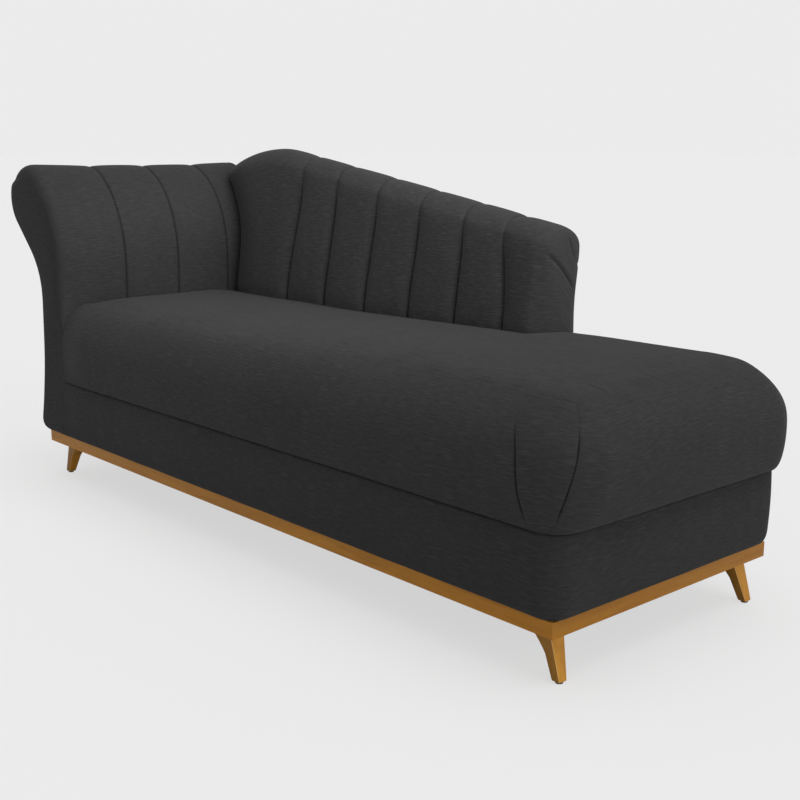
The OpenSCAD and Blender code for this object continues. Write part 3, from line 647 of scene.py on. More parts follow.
@dataclass(frozen=True)
class SlubCloth:
    """Matte charcoal upholstery cloth with thicker, lighter yarns here and there along the weft.

    facing is the share of its colour that the arm's facing keeps, as painted shade, slub how much lighter the thick
    yarns are, mottle the range of its broad patches, and pitch the distance between two threads in metres. slubs, yarns
    and fibres are how many times a metre each changes along the weft and over it, and dashes are darker slubs on a
    level seat.
    """

    tone: PaintedLightTone
    shade: Triple = (0.0320, 0.0320, 0.0320)
    facing: float = 0.76
    slub: float = 0.34
    mottle: float = 0.08
    pitch: float = 0.0016
    slubs: Pair = (26.0, 520.0)
    yarns: Pair = (60.0, 330.0)
    fibres: Pair = (240.0, 1250.0)
    dashes: Pair = (18.0, 180.0)

    def streaks(self, paint: Paint, ways: tuple[Socket, Socket, Socket], scale: Pair, detail: float) -> Socket:
        """Noise drawn out along the weft.

        Args:
            paint: The material.
            ways: The cloth's own coordinates, coordinates straight through the object, and the share of the second.
            scale: How fast the noise changes along the weft and over it.
            detail: Detail of the noise.

        Returns:
            Noise from 0 to 1.
        """
        found = [paint.noise((*scale, 0.0), detail, place=place, flat=True) for place in ways[:2]]
        mixed = paint.node("Mix", data_type="FLOAT")
        for name, value in zip(("Factor", "A", "B"), (ways[2], *found)):
            paint.give(value, mixed.inputs[name])
        return mixed.outputs["Result"]

    def material(self) -> bpy.types.Material:
        """The cloth: its colour times one plus slubs, yarns and mottling, darker in the seams, with yarns in relief.
        The seams' darkness is the stitch line and painted shade in the groove; the tone, the facing share and the
        darker tops and ends are painted light and shade.

        The weave is the product of a sine along the weft and one over it, a pitch apart.

        Returns:
            The finished material.
        """
        paint = Paint("cloth_" + self.tone.name.lower())
        weave = paint.node("Attribute", attribute_name="weave").outputs["Vector"]
        along, across, plain = paint.fed("SeparateXYZ", weave).outputs
        spot = paint.fed("SeparateXYZ", paint.place).outputs
        straight = paint.fed("CombineXYZ", spot["X"], paint.math("ADD", spot["Y"], spot["Z"]))
        ways = (weave, straight.outputs[0], plain)
        slubs = paint.span(self.streaks(paint, ways, self.slubs, 1.0), 0.54, 0.78)
        yarn = self.streaks(paint, ways, self.yarns, 3.0)
        fine = self.streaks(paint, ways, self.fibres, 2.0)
        patches = paint.noise((5.0, 5.0, 5.0), 3.0)
        turn = 2 * math.pi / self.pitch
        waves = [paint.math("SINE", paint.math("MULTIPLY", way, turn)) for way in (along, across)]
        threads = paint.math("MULTIPLY", *waves)
        seam = paint.node("Attribute", attribute_name="seam").outputs["Fac"]
        gain = paint.math("MULTIPLY_ADD", slubs, self.slub, 0.95)
        gain = paint.math("ADD", gain, paint.span(yarn, 0.25, 0.75, -0.12, 0.12))
        gain = paint.math("ADD", gain, paint.span(fine, 0.25, 0.75, -0.10, 0.10))
        if self.tone is PaintedLightTone.SEAT:
            dashes = paint.span(self.streaks(paint, ways, self.dashes, 1.0), 0.50, 0.72, 0.03, -0.18)
            level = paint.span(paint.looks()["Z"], 0.65, 0.92)
            gain = paint.math("ADD", gain, paint.math("MULTIPLY", level, dashes))
        gain = paint.math("MULTIPLY_ADD", threads, 0.05, gain)
        gain = paint.math("ADD", gain, paint.span(patches, 0.3, 0.7, -self.mottle / 2, self.mottle / 2))
        # Darker by the seam attribute: the stitch lines, and painted shade in seams, creases and pleats
        gain = paint.math("MULTIPLY", gain, paint.math("MULTIPLY_ADD", seam, -0.6, 1.0))
        # Painted shade: the arm's facing and rear face, where the weave runs straight on, are painted darker
        if self.tone is PaintedLightTone.ARM:
            gain = paint.math("MULTIPLY", gain, paint.math("MULTIPLY_ADD", plain, self.facing - 1, 1.0))
        # Painted shade: faces that look along X and faces that look up are painted darker
        for axis, share in zip("XZ", PAINTED_FACE_SHADE.get(self.tone, ())):
            gain = paint.math("MULTIPLY", gain, paint.span(paint.looks()[axis], 0.3, 0.9, 1.0, 1.0 - share))
        # Painted light and shade: the cloth's colour is scaled by the piece's tone
        colour = paint.scaled(tuple(c * self.tone.value for c in self.shade), gain)
        height = paint.math("MULTIPLY_ADD", slubs, 0.5, paint.math("MULTIPLY", yarn, 0.5))
        height = paint.math("ADD", height, paint.math("MULTIPLY_ADD", threads, 0.12, paint.math("MULTIPLY", fine, 0.5)))
        relief = paint.bump(height, 0.0006, 0.5)
        return paint.done(colour, paint.span(fine, 0.3, 0.7, 0.84, 0.96), relief,
                          Specular_IOR_Level=0.14, Sheen_Weight=0.03, Sheen_Roughness=0.5)


# The colour towards which an eased edge of stained timber turns, and how far: a painted highlight on the edge, with the
# stain rubbed thinner there
ARRIS_HIGHLIGHT, ARRIS_HIGHLIGHT_SHARE = (0.95, 0.66, 0.30), 0.55


@dataclass(frozen=True)
class Timber:
    """Timber with its grain along one axis, clear or bare.

    front is the share of its colour that faces to the front keep, as painted shade on them.
    """

    name: str
    grain: Grain
    light: Triple
    dark: Triple
    roughness: float = 0.40
    coat: float = 0.08
    front: float = 1.0

    def arris(self) -> "Timber":
        """The same timber where an edge is eased, paler: a painted highlight along the edge, and the stain rubbed
        thinner there.

        Returns:
            The paler timber.
        """
        light, dark = (tuple((1 - ARRIS_HIGHLIGHT_SHARE) * c + ARRIS_HIGHLIGHT_SHARE * e for c, e in zip(shade, ARRIS_HIGHLIGHT))
                       for shade in (self.light, self.dark))
        return replace(self, name=self.name + "_arris", light=light, dark=dark)

    def material(self) -> bpy.types.Material:
        """The timber: broad bands of light and dark with fine pores, both long in the grain's direction.

        Returns:
            The finished material.
        """
        paint = Paint(f"{self.name}_{self.grain.name.lower()}")
        scale = self.grain.value
        bands = paint.noise(tuple(0.8 * s for s in scale), 3.0, 0.6)
        fine = paint.noise(tuple(7.0 * s for s in scale), 3.0)
        share = paint.math("ADD", paint.span(bands, 0.35, 0.68, 0.0, 0.75), paint.span(fine, 0.45, 0.75, 0.0, 0.35))
        colour = paint.blend(paint.math("MINIMUM", share, 1.0), (*self.light, 1.0), (*self.dark, 1.0))
        # Painted shade: faces that look to the front are painted darker
        if self.front < 1:
            colour = paint.scaled(colour, paint.span(paint.looks()["Y"], -0.9, -0.6, self.front, 1.0))
        relief = paint.bump(fine, 0.0002, 0.3)
        return paint.done(colour, paint.span(fine, 0.3, 0.7, self.roughness, self.roughness + 0.12), relief,
                          Specular_IOR_Level=0.2, Coat_Weight=self.coat, Coat_Roughness=0.25)


PINE = {grain: Timber("pine", grain, (0.66, 0.50, 0.30), (0.52, 0.36, 0.19), 0.62, 0.0) for grain in Grain}


@dataclass(frozen=True)
class Woven:
    """Plain woven or needled stuff with ribs across one axis, for the webbing, the felt and the dust cover."""

    name: str
    shade: Triple
    ribs: Triple
    contrast: float = 0.5

    def material(self) -> bpy.types.Material:
        """The stuff: its colour, darker between the ribs, with loose fibres.

        Returns:
            The finished material.
        """
        paint = Paint(self.name)
        ribs, fibres = paint.noise(self.ribs, 1.0), paint.noise((900.0, 900.0, 900.0), 2.0)
        both = paint.math("MULTIPLY_ADD", fibres, 0.4, paint.math("MULTIPLY", ribs, 0.6))
        colour = paint.uneven(both, self.shade, self.contrast)
        return paint.done(colour, 0.9, paint.bump(both, 0.0005, 0.6), Specular_IOR_Level=0.2)


@dataclass(frozen=True)
class Fitting:
    """Zinc-plated steel or black nylon, slightly uneven."""

    name: str
    shade: Triple
    metallic: float
    roughness: float

    def material(self) -> bpy.types.Material:
        """The fitting: its colour with fine marks, and roughness that changes with them.

        Returns:
            The finished material.
        """
        paint = Paint(self.name)
        marks = paint.noise((700.0, 700.0, 120.0), 3.0)
        colour = paint.uneven(marks, self.shade, 0.2)
        return paint.done(colour, paint.span(marks, 0.3, 0.7, self.roughness, self.roughness + 0.15),
                          paint.bump(marks, 0.00005, 0.3), Metallic=self.metallic)


def dress(piece: bpy.types.Object, finish: SlubCloth | Timber | Woven | Fitting, slot: str,
          *stands_for: str) -> bpy.types.Object:
    """Gives a new piece its finish, rides it on the body, and hides the nodes that it stands for.

    Args:
        piece: The piece.
        finish: Its finish.
        slot: Not used.
        stands_for: The nodes that it stands for.

    Returns:
        The piece.
    """
    piece.data.materials.clear()
    piece.data.materials.append(finish.material())
    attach(piece, "root")
    if stands_for:
        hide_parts(*stands_for)
    LOG.info("%s stands for %s", piece.name, ", ".join(stands_for) or "itself")
    return piece


def channel(t: Array, depth: float, full: float = 0.45) -> Array:
    """How deep a channel's surface lies under its crown across its width: deep and sharp at both seams, at t 0 and 1.

    full is the share of the depth that comes from its rounding, and the rest is the crease at the seams.
    """
    u = np.abs(2 * t - 1)
    return depth * (full * u**3 + (1 - full) * u**22)


@dataclass
class ScrollArm:
    """The arm: an upright inner face that sweeps out into a roll, three seams over it, and a hollow outer side.

    Its section is one outline, cut into a right and a left half of the same number of points. Each pair of points
    shares a point of the middle line, to which the front and the rear face are closed. lap is the height to which
    the cloth hangs where it stands out past the plinth. join, hug and tip are angles in degrees: where the sweep
    runs into the roll, where the neck leaves its circle, and where the halves meet.
    """

    face_x: float = 118.0
    out: float = 15.0
    front: float = -14.0
    rear: float = 564.4
    underside: float = 112.0
    lap: float = 109.2
    pad_rear: float = 560.0
    channelled: Pair = (18.0, 548.0)
    seams: tuple[float, ...] = (158.0, 300.0, 442.0)
    seam_depth: float = 5.5
    edge: float = 28.0
    inner_edge: float = 0.7
    roll: Pair = (-38.0, 655.0)
    roll_r: float = 80.0
    sweep: Pair = (-122.0, 518.8)
    sweep_r: float = 240.0
    neck: Pair = (-134.0, 424.0)
    neck_r: float = 154.0
    flare: Pair = (-1158.0, 424.0)
    flare_r: float = 1178.0
    join: float = 58.3
    hug: float = 46.7
    tip: float = 142.5

    def halves(self) -> tuple[Array, Array]:
        """The outline's right and left halves as [x, z], from the middle of the underside to the roll's tip.

        Returns:
            The two halves, each from the underside up.
        """
        up = [128, 145, 165, 190, 216, 243, 275, 310, 345, 380, 410, 437, 464, 491, self.sweep[1]]
        right = np.concatenate((
            np.array([(x, self.underside) for x in (59, 85, 107, self.face_x)]),
            np.array([(self.face_x, z) for z in up]),
            arc(self.sweep, self.sweep_r, 0, self.join, 12)[1:],
            arc(self.roll, self.roll_r, self.join, self.tip, 8)[1:]))
        a = np.radians(np.linspace(90, 0, 6))[1:]
        low = np.stack((-self.out * np.cos(a), PLINTH_TOP + LOW_ROUND * (1 - np.sin(a))), 1)
        turn = math.degrees(math.asin((PLINTH_TOP + LOW_ROUND - self.flare[1]) / self.flare_r))
        neck = arc(self.neck, self.neck_r, 0, self.hug, 7)
        under = arc(self.roll, self.roll_r, 180 + self.hug, self.tip, 8)
        left = np.concatenate((
            np.array([(x, self.underside) for x in (59, 35, 13.5)]),
            np.array([(11, self.lap), (0, PLINTH_TOP)]),
            low,
            arc(self.flare, self.flare_r, turn, 0, 10)[1:],
            neck[1:],
            line(tuple(neck[-1]), tuple(under[0]), 4)[1:],
            under[1:]))
        return right, left

    def middle(self, right: Array, left: Array) -> Array:
        """The middle line: half way between each pair, kept off the underside, and short inside the roll.

        Args:
            right: The outline's right half.
            left: Its left half.

        Returns:
            The middle points.
        """
        mid = (right + left) / 2
        k = np.arange(len(mid))
        mid[:, 1] = np.maximum(mid[:, 1], 150 + 4.0 * k)
        in_roll, reach = 30, 26
        tip = math.radians(self.tip)
        run = (k[in_roll:] - in_roll) / (len(mid) - 1 - in_roll)
        mid[in_roll:] = mid[in_roll] + np.array((math.cos(tip), math.sin(tip))) * (run * reach)[:, None]
        return mid

    def loop(self) -> tuple[Array, Array, Array, Array, Array]:
        """The closed outline with what each point carries.

        Returns:
            Points as [x, z], their middle points, the radius of the front edge there, how far the seams show, and
            how firmly the cloth is held.
        """
        right, left = self.halves()
        mid = self.middle(right, left)
        points = np.concatenate((right, left[-2::-1]))
        middles = np.concatenate((mid, mid[-2::-1]))
        n = len(right)
        k = np.arange(len(points))
        inner = k < n
        z = points[:, 1]
        radius = np.where(inner, self.inner_edge + (self.edge - self.inner_edge) * smooth((z - 330) / 130),
                          3 + 10 * smooth((z - PLINTH_TOP) / 60))
        neck_end = n + 11
        show = smooth((neck_end - k) / 7.0) * smooth((z - 300) / 60) * (k < neck_end)
        held = np.where(inner, 1 - smooth((z - 390) / 60), 0.25 + 0.75 * (1 - smooth((z - 150) / 60)))
        return points, middles, radius, show, held

    def stations(self) -> tuple[Array, Array, Array, Array]:
        """Places along the depth with the seam depth share, the nearness of a seam, and the seam's number.

        Returns:
            Four arrays of one value for each place.
        """
        ends = (self.front, *self.seams, self.pad_rear)
        shares = (0.0, 0.025, 0.07, 0.15, 0.26, 0.38, 0.5, 0.62, 0.74, 0.85, 0.93, 0.975)
        made = []
        for i, (a, b) in enumerate(zip(ends, ends[1:])):
            for t in shares:
                outer = i == 0 and t < 0.5 or i == len(self.seams) and t > 0.5
                sunk = 0.0 if outer else float(channel(np.array(t), 1.0))
                made.append((a + (b - a) * t, sunk, i if t == 0 else 0))
        low, high = self.channelled
        y, depth, mark = np.array([row for row in made if low <= row[0] <= high]).T
        away = np.abs(y[:, None] - np.array(self.seams)).min(1)
        return y, depth, np.exp(-(away / SEAM_REACH) ** 2), mark

    def build(self) -> bpy.types.Object:
        """The whole cover of the arm, from the front face over the seams to the rear face.

        The front edge is a quarter round: at angle a the outline draws in by r (1 - cos a) towards the middle line
        while y goes from front + r to front as front + r (1 - sin a).

        Returns:
            The piece.
        """
        o, m, radius, show, held = self.loop()
        reach = np.linalg.norm(m - o, axis=1)
        n = len(o)
        rings = Rings()

        def ring(share: Array | float, y: Array | float, firm: float = 0.0, **carried: Array | float) -> None:
            """Adds a ring at a depth, drawn in by a share of the way to the middle line."""
            points = o + (m - o) * np.broadcast_to(share, n)[:, None]
            lifted = np.stack((points[:, 0], np.broadcast_to(y, n), points[:, 1]), 1)
            rings.add(lifted, held=np.maximum(held, firm), **carried)

        for w in (1.0, 0.72, 0.42, 0.18):
            inset = radius / reach
            share = inset + (1 - inset) * w
            dome = 3.0 * (1 - (1 - share) ** 2) * smooth((m[:, 1] - 250) / 200)
            ring(share, self.front - dome, 1.0, plain=1.0)
        for a in np.radians((90, 70, 50, 32, 15, 0)):
            ring(radius * (1 - math.cos(a)) / reach, self.front + radius * (1 - math.sin(a)),
                 float(smooth(a * 1.3)), plain=float(smooth(a * 1.2 - 0.5)))
        tangent = np.roll(o, -1, axis=0) - np.roll(o, 1, axis=0)
        inward = np.stack((-tangent[:, 1], tangent[:, 0]), 1) / np.linalg.norm(tangent, axis=1)[:, None]
        # The seams are darker: the stitch lines, and painted shade in their grooves
        for y, depth, close, number in zip(*self.stations()):
            ring(0.0, y, seam=(number > 0) * show, near=close * show, mark=np.where(show > 0.2, number, 0))
            rings.rows[-1][:, (0, 2)] += inward * (self.seam_depth * depth * show)[:, None]
        # The rear seam is darker: its stitch line, and painted shade in its groove
        for y, inset, seam in ((548, 0, 0), (552, 2.5, 1), (556, 0, 0), (561, 1.5, 0), (565, 6, 0)):
            ring(inset / reach, y, seam=0.8 * seam, near=0.5 * seam, mark=9 * seam)
        for w in (0.25, 0.6, 1.0):
            ring(inset / reach + (1 - inset / reach) * w, self.rear, 1.0, plain=1.0)
        p = np.array(rings.rows)
        overhang = ((p[..., 1] < 0) | (p[..., 1] > PLINTH_D)) & (p[..., 2] < self.underside + 0.5)
        p[..., 2] = np.where(overhang, np.minimum(p[..., 2], self.lap), p[..., 2])
        low = np.sqrt(1 - np.clip((PLINTH_TOP + LOW_ROUND - p[..., 2]) / LOW_ROUND, 0, 1) ** 2)
        p[..., 1] = np.where(p[..., 1] < 0, p[..., 1] * low, p[..., 1])
        p[..., 1] = np.where(p[..., 1] > PLINTH_D, PLINTH_D + (p[..., 1] - PLINTH_D) * low, p[..., 1])
        around = np.append(run_length(np.concatenate((o, o[:1])), 0)[:n], 0.0)
        cover = rings.grid(closed(p), closed(run_length(p, 0)), np.tile(around, (len(p), 1)))
        return Solid("arm_cover", [cover]).build()


@dataclass
class SlopingBack:
    """The back: leaning and channelled in front, rounded over a sloping ridge, plain behind a seam below the ridge.

    at_foot and at_ridge are how far each of the six seams strays from its even place at its two ends. Seams lean
    together by a share, gather, on their way up from the fourth one's place.
    """

    length: float = 1160.0
    pad_end: float = 1130.0
    face: float = 438.0
    rear: float = 565.0
    lean_from: float = 435.6
    lean: float = 0.1317
    peak_x: float = 285.0
    peak_z: float = 771.0
    slope: float = -0.161
    hump: float = 682.0
    meet_z: float = 717.0
    pitch: float = 142.0
    fourth_x: float = 788.0
    gather: float = 0.04
    seam_depth: float = 9.5
    by_arm: float = 28.0
    top_round: float = 41.0
    lip: float = 75.0
    at_foot: tuple[float, ...] = (0, 0, 0, 2, 0, -9)
    at_ridge: tuple[float, ...] = (12, 4, 10, 12, 6, -20)
    arm: ScrollArm = field(default_factory=ScrollArm)

    def arm_x(self, z: Array) -> Array:
        """The arm's inner face at a height: upright, then on the sweep's circle, then on the roll's.

        Args:
            z: Heights.

        Returns:
            The face's places.
        """
        (sx, sz), (rx, rz) = self.arm.sweep, self.arm.roll
        swept = sx + np.sqrt(np.maximum(0, self.arm.sweep_r**2 - (z - sz) ** 2))
        rolled = rx + np.sqrt(np.maximum(0, self.arm.roll_r**2 - (z - rz) ** 2))
        top = sz + self.arm.sweep_r * math.sin(math.radians(self.arm.join))
        return np.where(z <= sz, self.arm.face_x, np.where(z <= top, swept, rolled))

    def ridge(self, x: Array) -> Array:
        """The ridge's height: a parabola up to the peak, then a straight fall."""
        return np.where(x < self.peak_x, self.peak_z - (self.peak_x - x) ** 2 / (2 * self.hump),
                        self.peak_z + self.slope * (x - self.peak_x))

    def seam_x(self, i: int, z: Array) -> Array:
        """Place of a seam at a height: seams lean together on their way up, and wander as sewn by hand.

        Args:
            i: The seam's number, from 1.
            z: Heights.

        Returns:
            The seam's places.
        """
        straight = self.fourth_x + (i - 4) * self.pitch * (1 - self.gather * smooth((z - self.lean_from) / 300))
        crest = float(self.ridge(np.array(self.fourth_x + (i - 4) * (1 - self.gather) * self.pitch)))
        up = smooth((z - 450) / (crest - 490))
        return straight + self.at_foot[i - 1] * (1 - up) + self.at_ridge[i - 1] * up

    def column_x(self, i: int, t: float, z: Array) -> Array:
        """Place at a share t of channel i's width, at a height.

        Args:
            i: The channel's number, from 0.
            t: The share of its width.
            z: Heights.

        Returns:
            The column's places.
        """
        a = self.arm_x(np.minimum(z, self.meet_z)) + 2.5 if i == 0 else self.seam_x(i, z)
        b = self.pad_end if i == 6 else self.seam_x(i + 1, z)
        return a + (b - a) * t

    def face_y(self, z: Array) -> Array:
        """The front face: upright behind the seat, then leaning back."""
        return self.face + self.lean * np.maximum(0, z - self.lean_from)

    def columns(self) -> list[tuple[int, float, float, float, int]]:
        """Each column's channel, share of the width, depth under the crown, nearness of a seam and seam number.

        Seven channels: a wide one by the arm, whose first half dips into the corner there, five usual ones, and a
        narrow one at the free end.

        Returns:
            A row of those five values for each column.
        """
        made = []
        wide = (0, .03, .08, .15, .23, .32, .41, .5, .6, .7, .8, .88, .94, .98)
        usual = (0, .025, .07, .15, .27, .42, .58, .73, .85, .93, .975)
        last = (0, .05, .14, .28, .48, .74, 1.0)
        for i, shares in enumerate((wide, *(usual,) * 5, last)):
            width = 244 if i == 0 else 58 if i == 6 else self.pitch
            for t in shares:
                away = 1e3 if i == 0 else t * width
                if i < 6:
                    away = min(away, (1 - t) * width)
                depth = float(channel(np.array(t), self.seam_depth, 0.30))
                if i == 0:
                    depth = self.by_arm * (1 - 2 * t) ** 3 if t < 0.5 else self.seam_depth * (
                        0.35 * (2 * t - 1) ** 5 + 0.65 * (2 * t - 1) ** 24)
                if i == 6:
                    depth = self.seam_depth * (1 - t) ** 5
                made.append((i, t, depth, math.exp(-(away / SEAM_REACH) ** 2), i if t == 0 else 0))
        return made

    def section(self, i: int, t: float, depth: float) -> tuple[Array, Array]:
        """One upright section from the foot of the front face over the ridge to the foot of the rear.

        Args:
            i: The channel's number, from 0.
            t: The share of its width.
            depth: How deep the face lies under its crown there.

        Returns:
            Its points, and the middle points that close it at an end.
        """
        x = self.column_x(i, t, np.array(700.0))
        h = float(self.ridge(self.column_x(i, t, self.ridge(x))))
        dip = min(depth, self.seam_depth) * 0.62
        zc = h - self.top_round
        low = np.array((SEAM_Z, 244.5, 250, 272, 310, 350, 385, 415, self.lean_from))
        up = self.lean_from + (h - self.lip - 5 - self.lean_from) * np.linspace(0, 1, 16)[1:]
        z = np.concatenate((low, up, (h - self.lip, h - self.lip + 5, h - self.lip + 17, zc)))
        shallow = 1 - 0.45 * smooth((z - h + 110) / 60) if i > 0 else 1.0
        front = self.face_y(z) + depth * shallow
        a = np.radians(np.linspace(0, 180, 13))
        yf, half = front[-1], (self.rear - front[-1]) / 2
        top = np.stack((yf + half - half * np.cos(a), zc + (self.top_round - dip) * np.sin(a)), 1)[1:-1]
        behind = np.full(len(z), self.rear)
        behind[len(z) - 4] -= 3.0
        yz = np.concatenate((np.stack((front, z), 1), top, np.stack((behind, z), 1)[::-1]))
        mid_y = (yz[:, 0] + yz[::-1, 0]) / 2
        crown = 6 * np.sin(a)[1:-1]
        mid_z = np.concatenate((z, zc + crown, z[::-1]))
        points = np.stack((self.column_x(i, t, yz[:, 1]), yz[:, 0], yz[:, 1]), 1)
        return points, np.stack((mid_y, mid_z), 1)

    @staticmethod
    def groove(section: Array) -> int:
        """Number of a section's point that lies in the seam below the ridge."""
        return len(section) - (len(section) - 11) // 2 + 3

    def add(self, rings: Rings, section: Array, **carried: Array | float) -> None:
        """Adds a section, whose weave runs straight on behind the ridge."""
        rings.add(section, plain=np.arange(len(section)) > self.groove(section) - 3, **carried)

    def add_cap(self, rings: Rings) -> None:
        """Adds the face against the arm, from its middle line outwards.

        Args:
            rings: The rings gathered so far, to which it adds.
        """
        first, middles = self.section(*self.columns()[0][:3])
        for w in (1.0, 0.5):
            cap = first.copy()
            cap[:, 1:] += (middles - first[:, 1:]) * w
            cap[:, 0] = self.column_x(0, 0.0, cap[:, 2])
            self.add(rings, cap, held=1.0)

    def add_channels(self, rings: Rings) -> None:
        """Adds the columns of the seven channels, whose seams fade towards the ridge and the seat.

        Args:
            rings: The rings gathered so far, to which it adds.
        """
        for i, t, depth, close, number in self.columns():
            points, _ = self.section(i, t, depth)
            z, k, groove = points[:, 2], np.arange(len(points)), self.groove(points)
            rear = k > groove
            faded = (k < groove) * smooth((z - 330) / 60) * smooth((groove - k) / 4)
            if depth > 0 and i > 0:
                flat, _ = self.section(i, t, 0.0)
                points[:, 1] = np.where(rear, flat[:, 1], points[:, 1])
            held = np.maximum(1 - smooth((z - 400) / 50), np.where(rear, 0.5, 0.0))
            held = np.maximum(held, 1.0 if i == 0 and t < 0.02 else 0.0)
            if i == 6:
                points[groove, 1] += 3.0 * t
            # The seams and the groove below the ridge are darker: the stitch lines, and painted shade in their grooves
            lip = (k == groove) * (1 - (i == 6) * t)
            shown = faded * (1 - 0.75 * smooth((z - self.ridge(points[:, 0]) + 75) / 45))
            self.add(rings, points, seam=np.maximum(0.85 * (number > 0) * shown, 0.8 * lip),
                     near=np.maximum(close * faded, 0.5 * lip), held=np.maximum(held, 0.9 * (number > 0)),
                     mark=np.where(lip > 0.3, 20, np.where(faded > 0.15, number, 0)))

    def add_end(self, rings: Rings) -> None:
        """Adds the rounded free end.

        At angle a of the rounding, the section draws in by r (1 - cos a) towards its middle line while x grows by
        r sin a, and its upper part follows the ridge's slope.

        Args:
            rings: The rings gathered so far, to which it adds.
        """
        last, middles = self.section(6, 1.0, 0.0)
        reach = np.linalg.norm(middles - last[:, 1:], axis=1)
        round_r = self.length - self.pad_end
        held = 1 - smooth((last[:, 2] - 400) / 50)
        tight = 1 - 0.72 * smooth((last[:, 2] - 450) / 130)
        follows = smooth((last[:, 2] - 450) / 150)
        for a in np.radians((18, 36, 54, 72, 90)):
            share = (tight * round_r * 0.95 * (1 - math.cos(a)) / reach)[:, None]
            points = last.copy()
            points[:, 1:] += (middles - last[:, 1:]) * share
            points[:, 0] = self.pad_end + round_r * math.sin(a)
            points[:, 2] += self.slope * round_r * math.sin(a) * follows
            self.add(rings, points, held=held)
        edge = points
        target = middles + np.array((0.0, self.slope * round_r)) * follows[:, None]
        for w in (0.16, 0.32, 0.48, 0.64, 0.82, 1.0):
            points = edge.copy()
            points[:, 1:] += (target - edge[:, 1:]) * w
            points[:, 0] += 2.5 * (1 - (1 - w) ** 2)
            self.add(rings, points, held=held)

    def build(self) -> bpy.types.Object:
        """The whole cover of the back, closed below by a strip that is tucked in along both long sides.

        Returns:
            The piece.
        """
        rings = Rings()
        for add in (self.add_cap, self.add_channels, self.add_end):
            add(rings)
        p = np.array(rings.rows)
        front, rear = p[:, 0], p[:, -1]
        inset = np.minimum(6, 0.3 * (rear[:, 1] - front[:, 1]))[:, None] * np.array((0, 1, 0))
        foot = np.stack((front, front + inset, rear - inset, rear), 1)
        return Solid("back_cover", [rings.grid(p, run_length(p, 0), run_length(p, 1)), Grid(foot, held=1.0)]).build()


@dataclass(frozen=True)
class Level:
    """One level of the seat's side.

    It has a height, draws in at the foot end and at the sides, and has smaller corners than the widest level. share
    is how far up the shoulder it lies.
    """

    z: float
    end_inset: float
    side_inset: float
    shrink: float
    share: float = 0.0


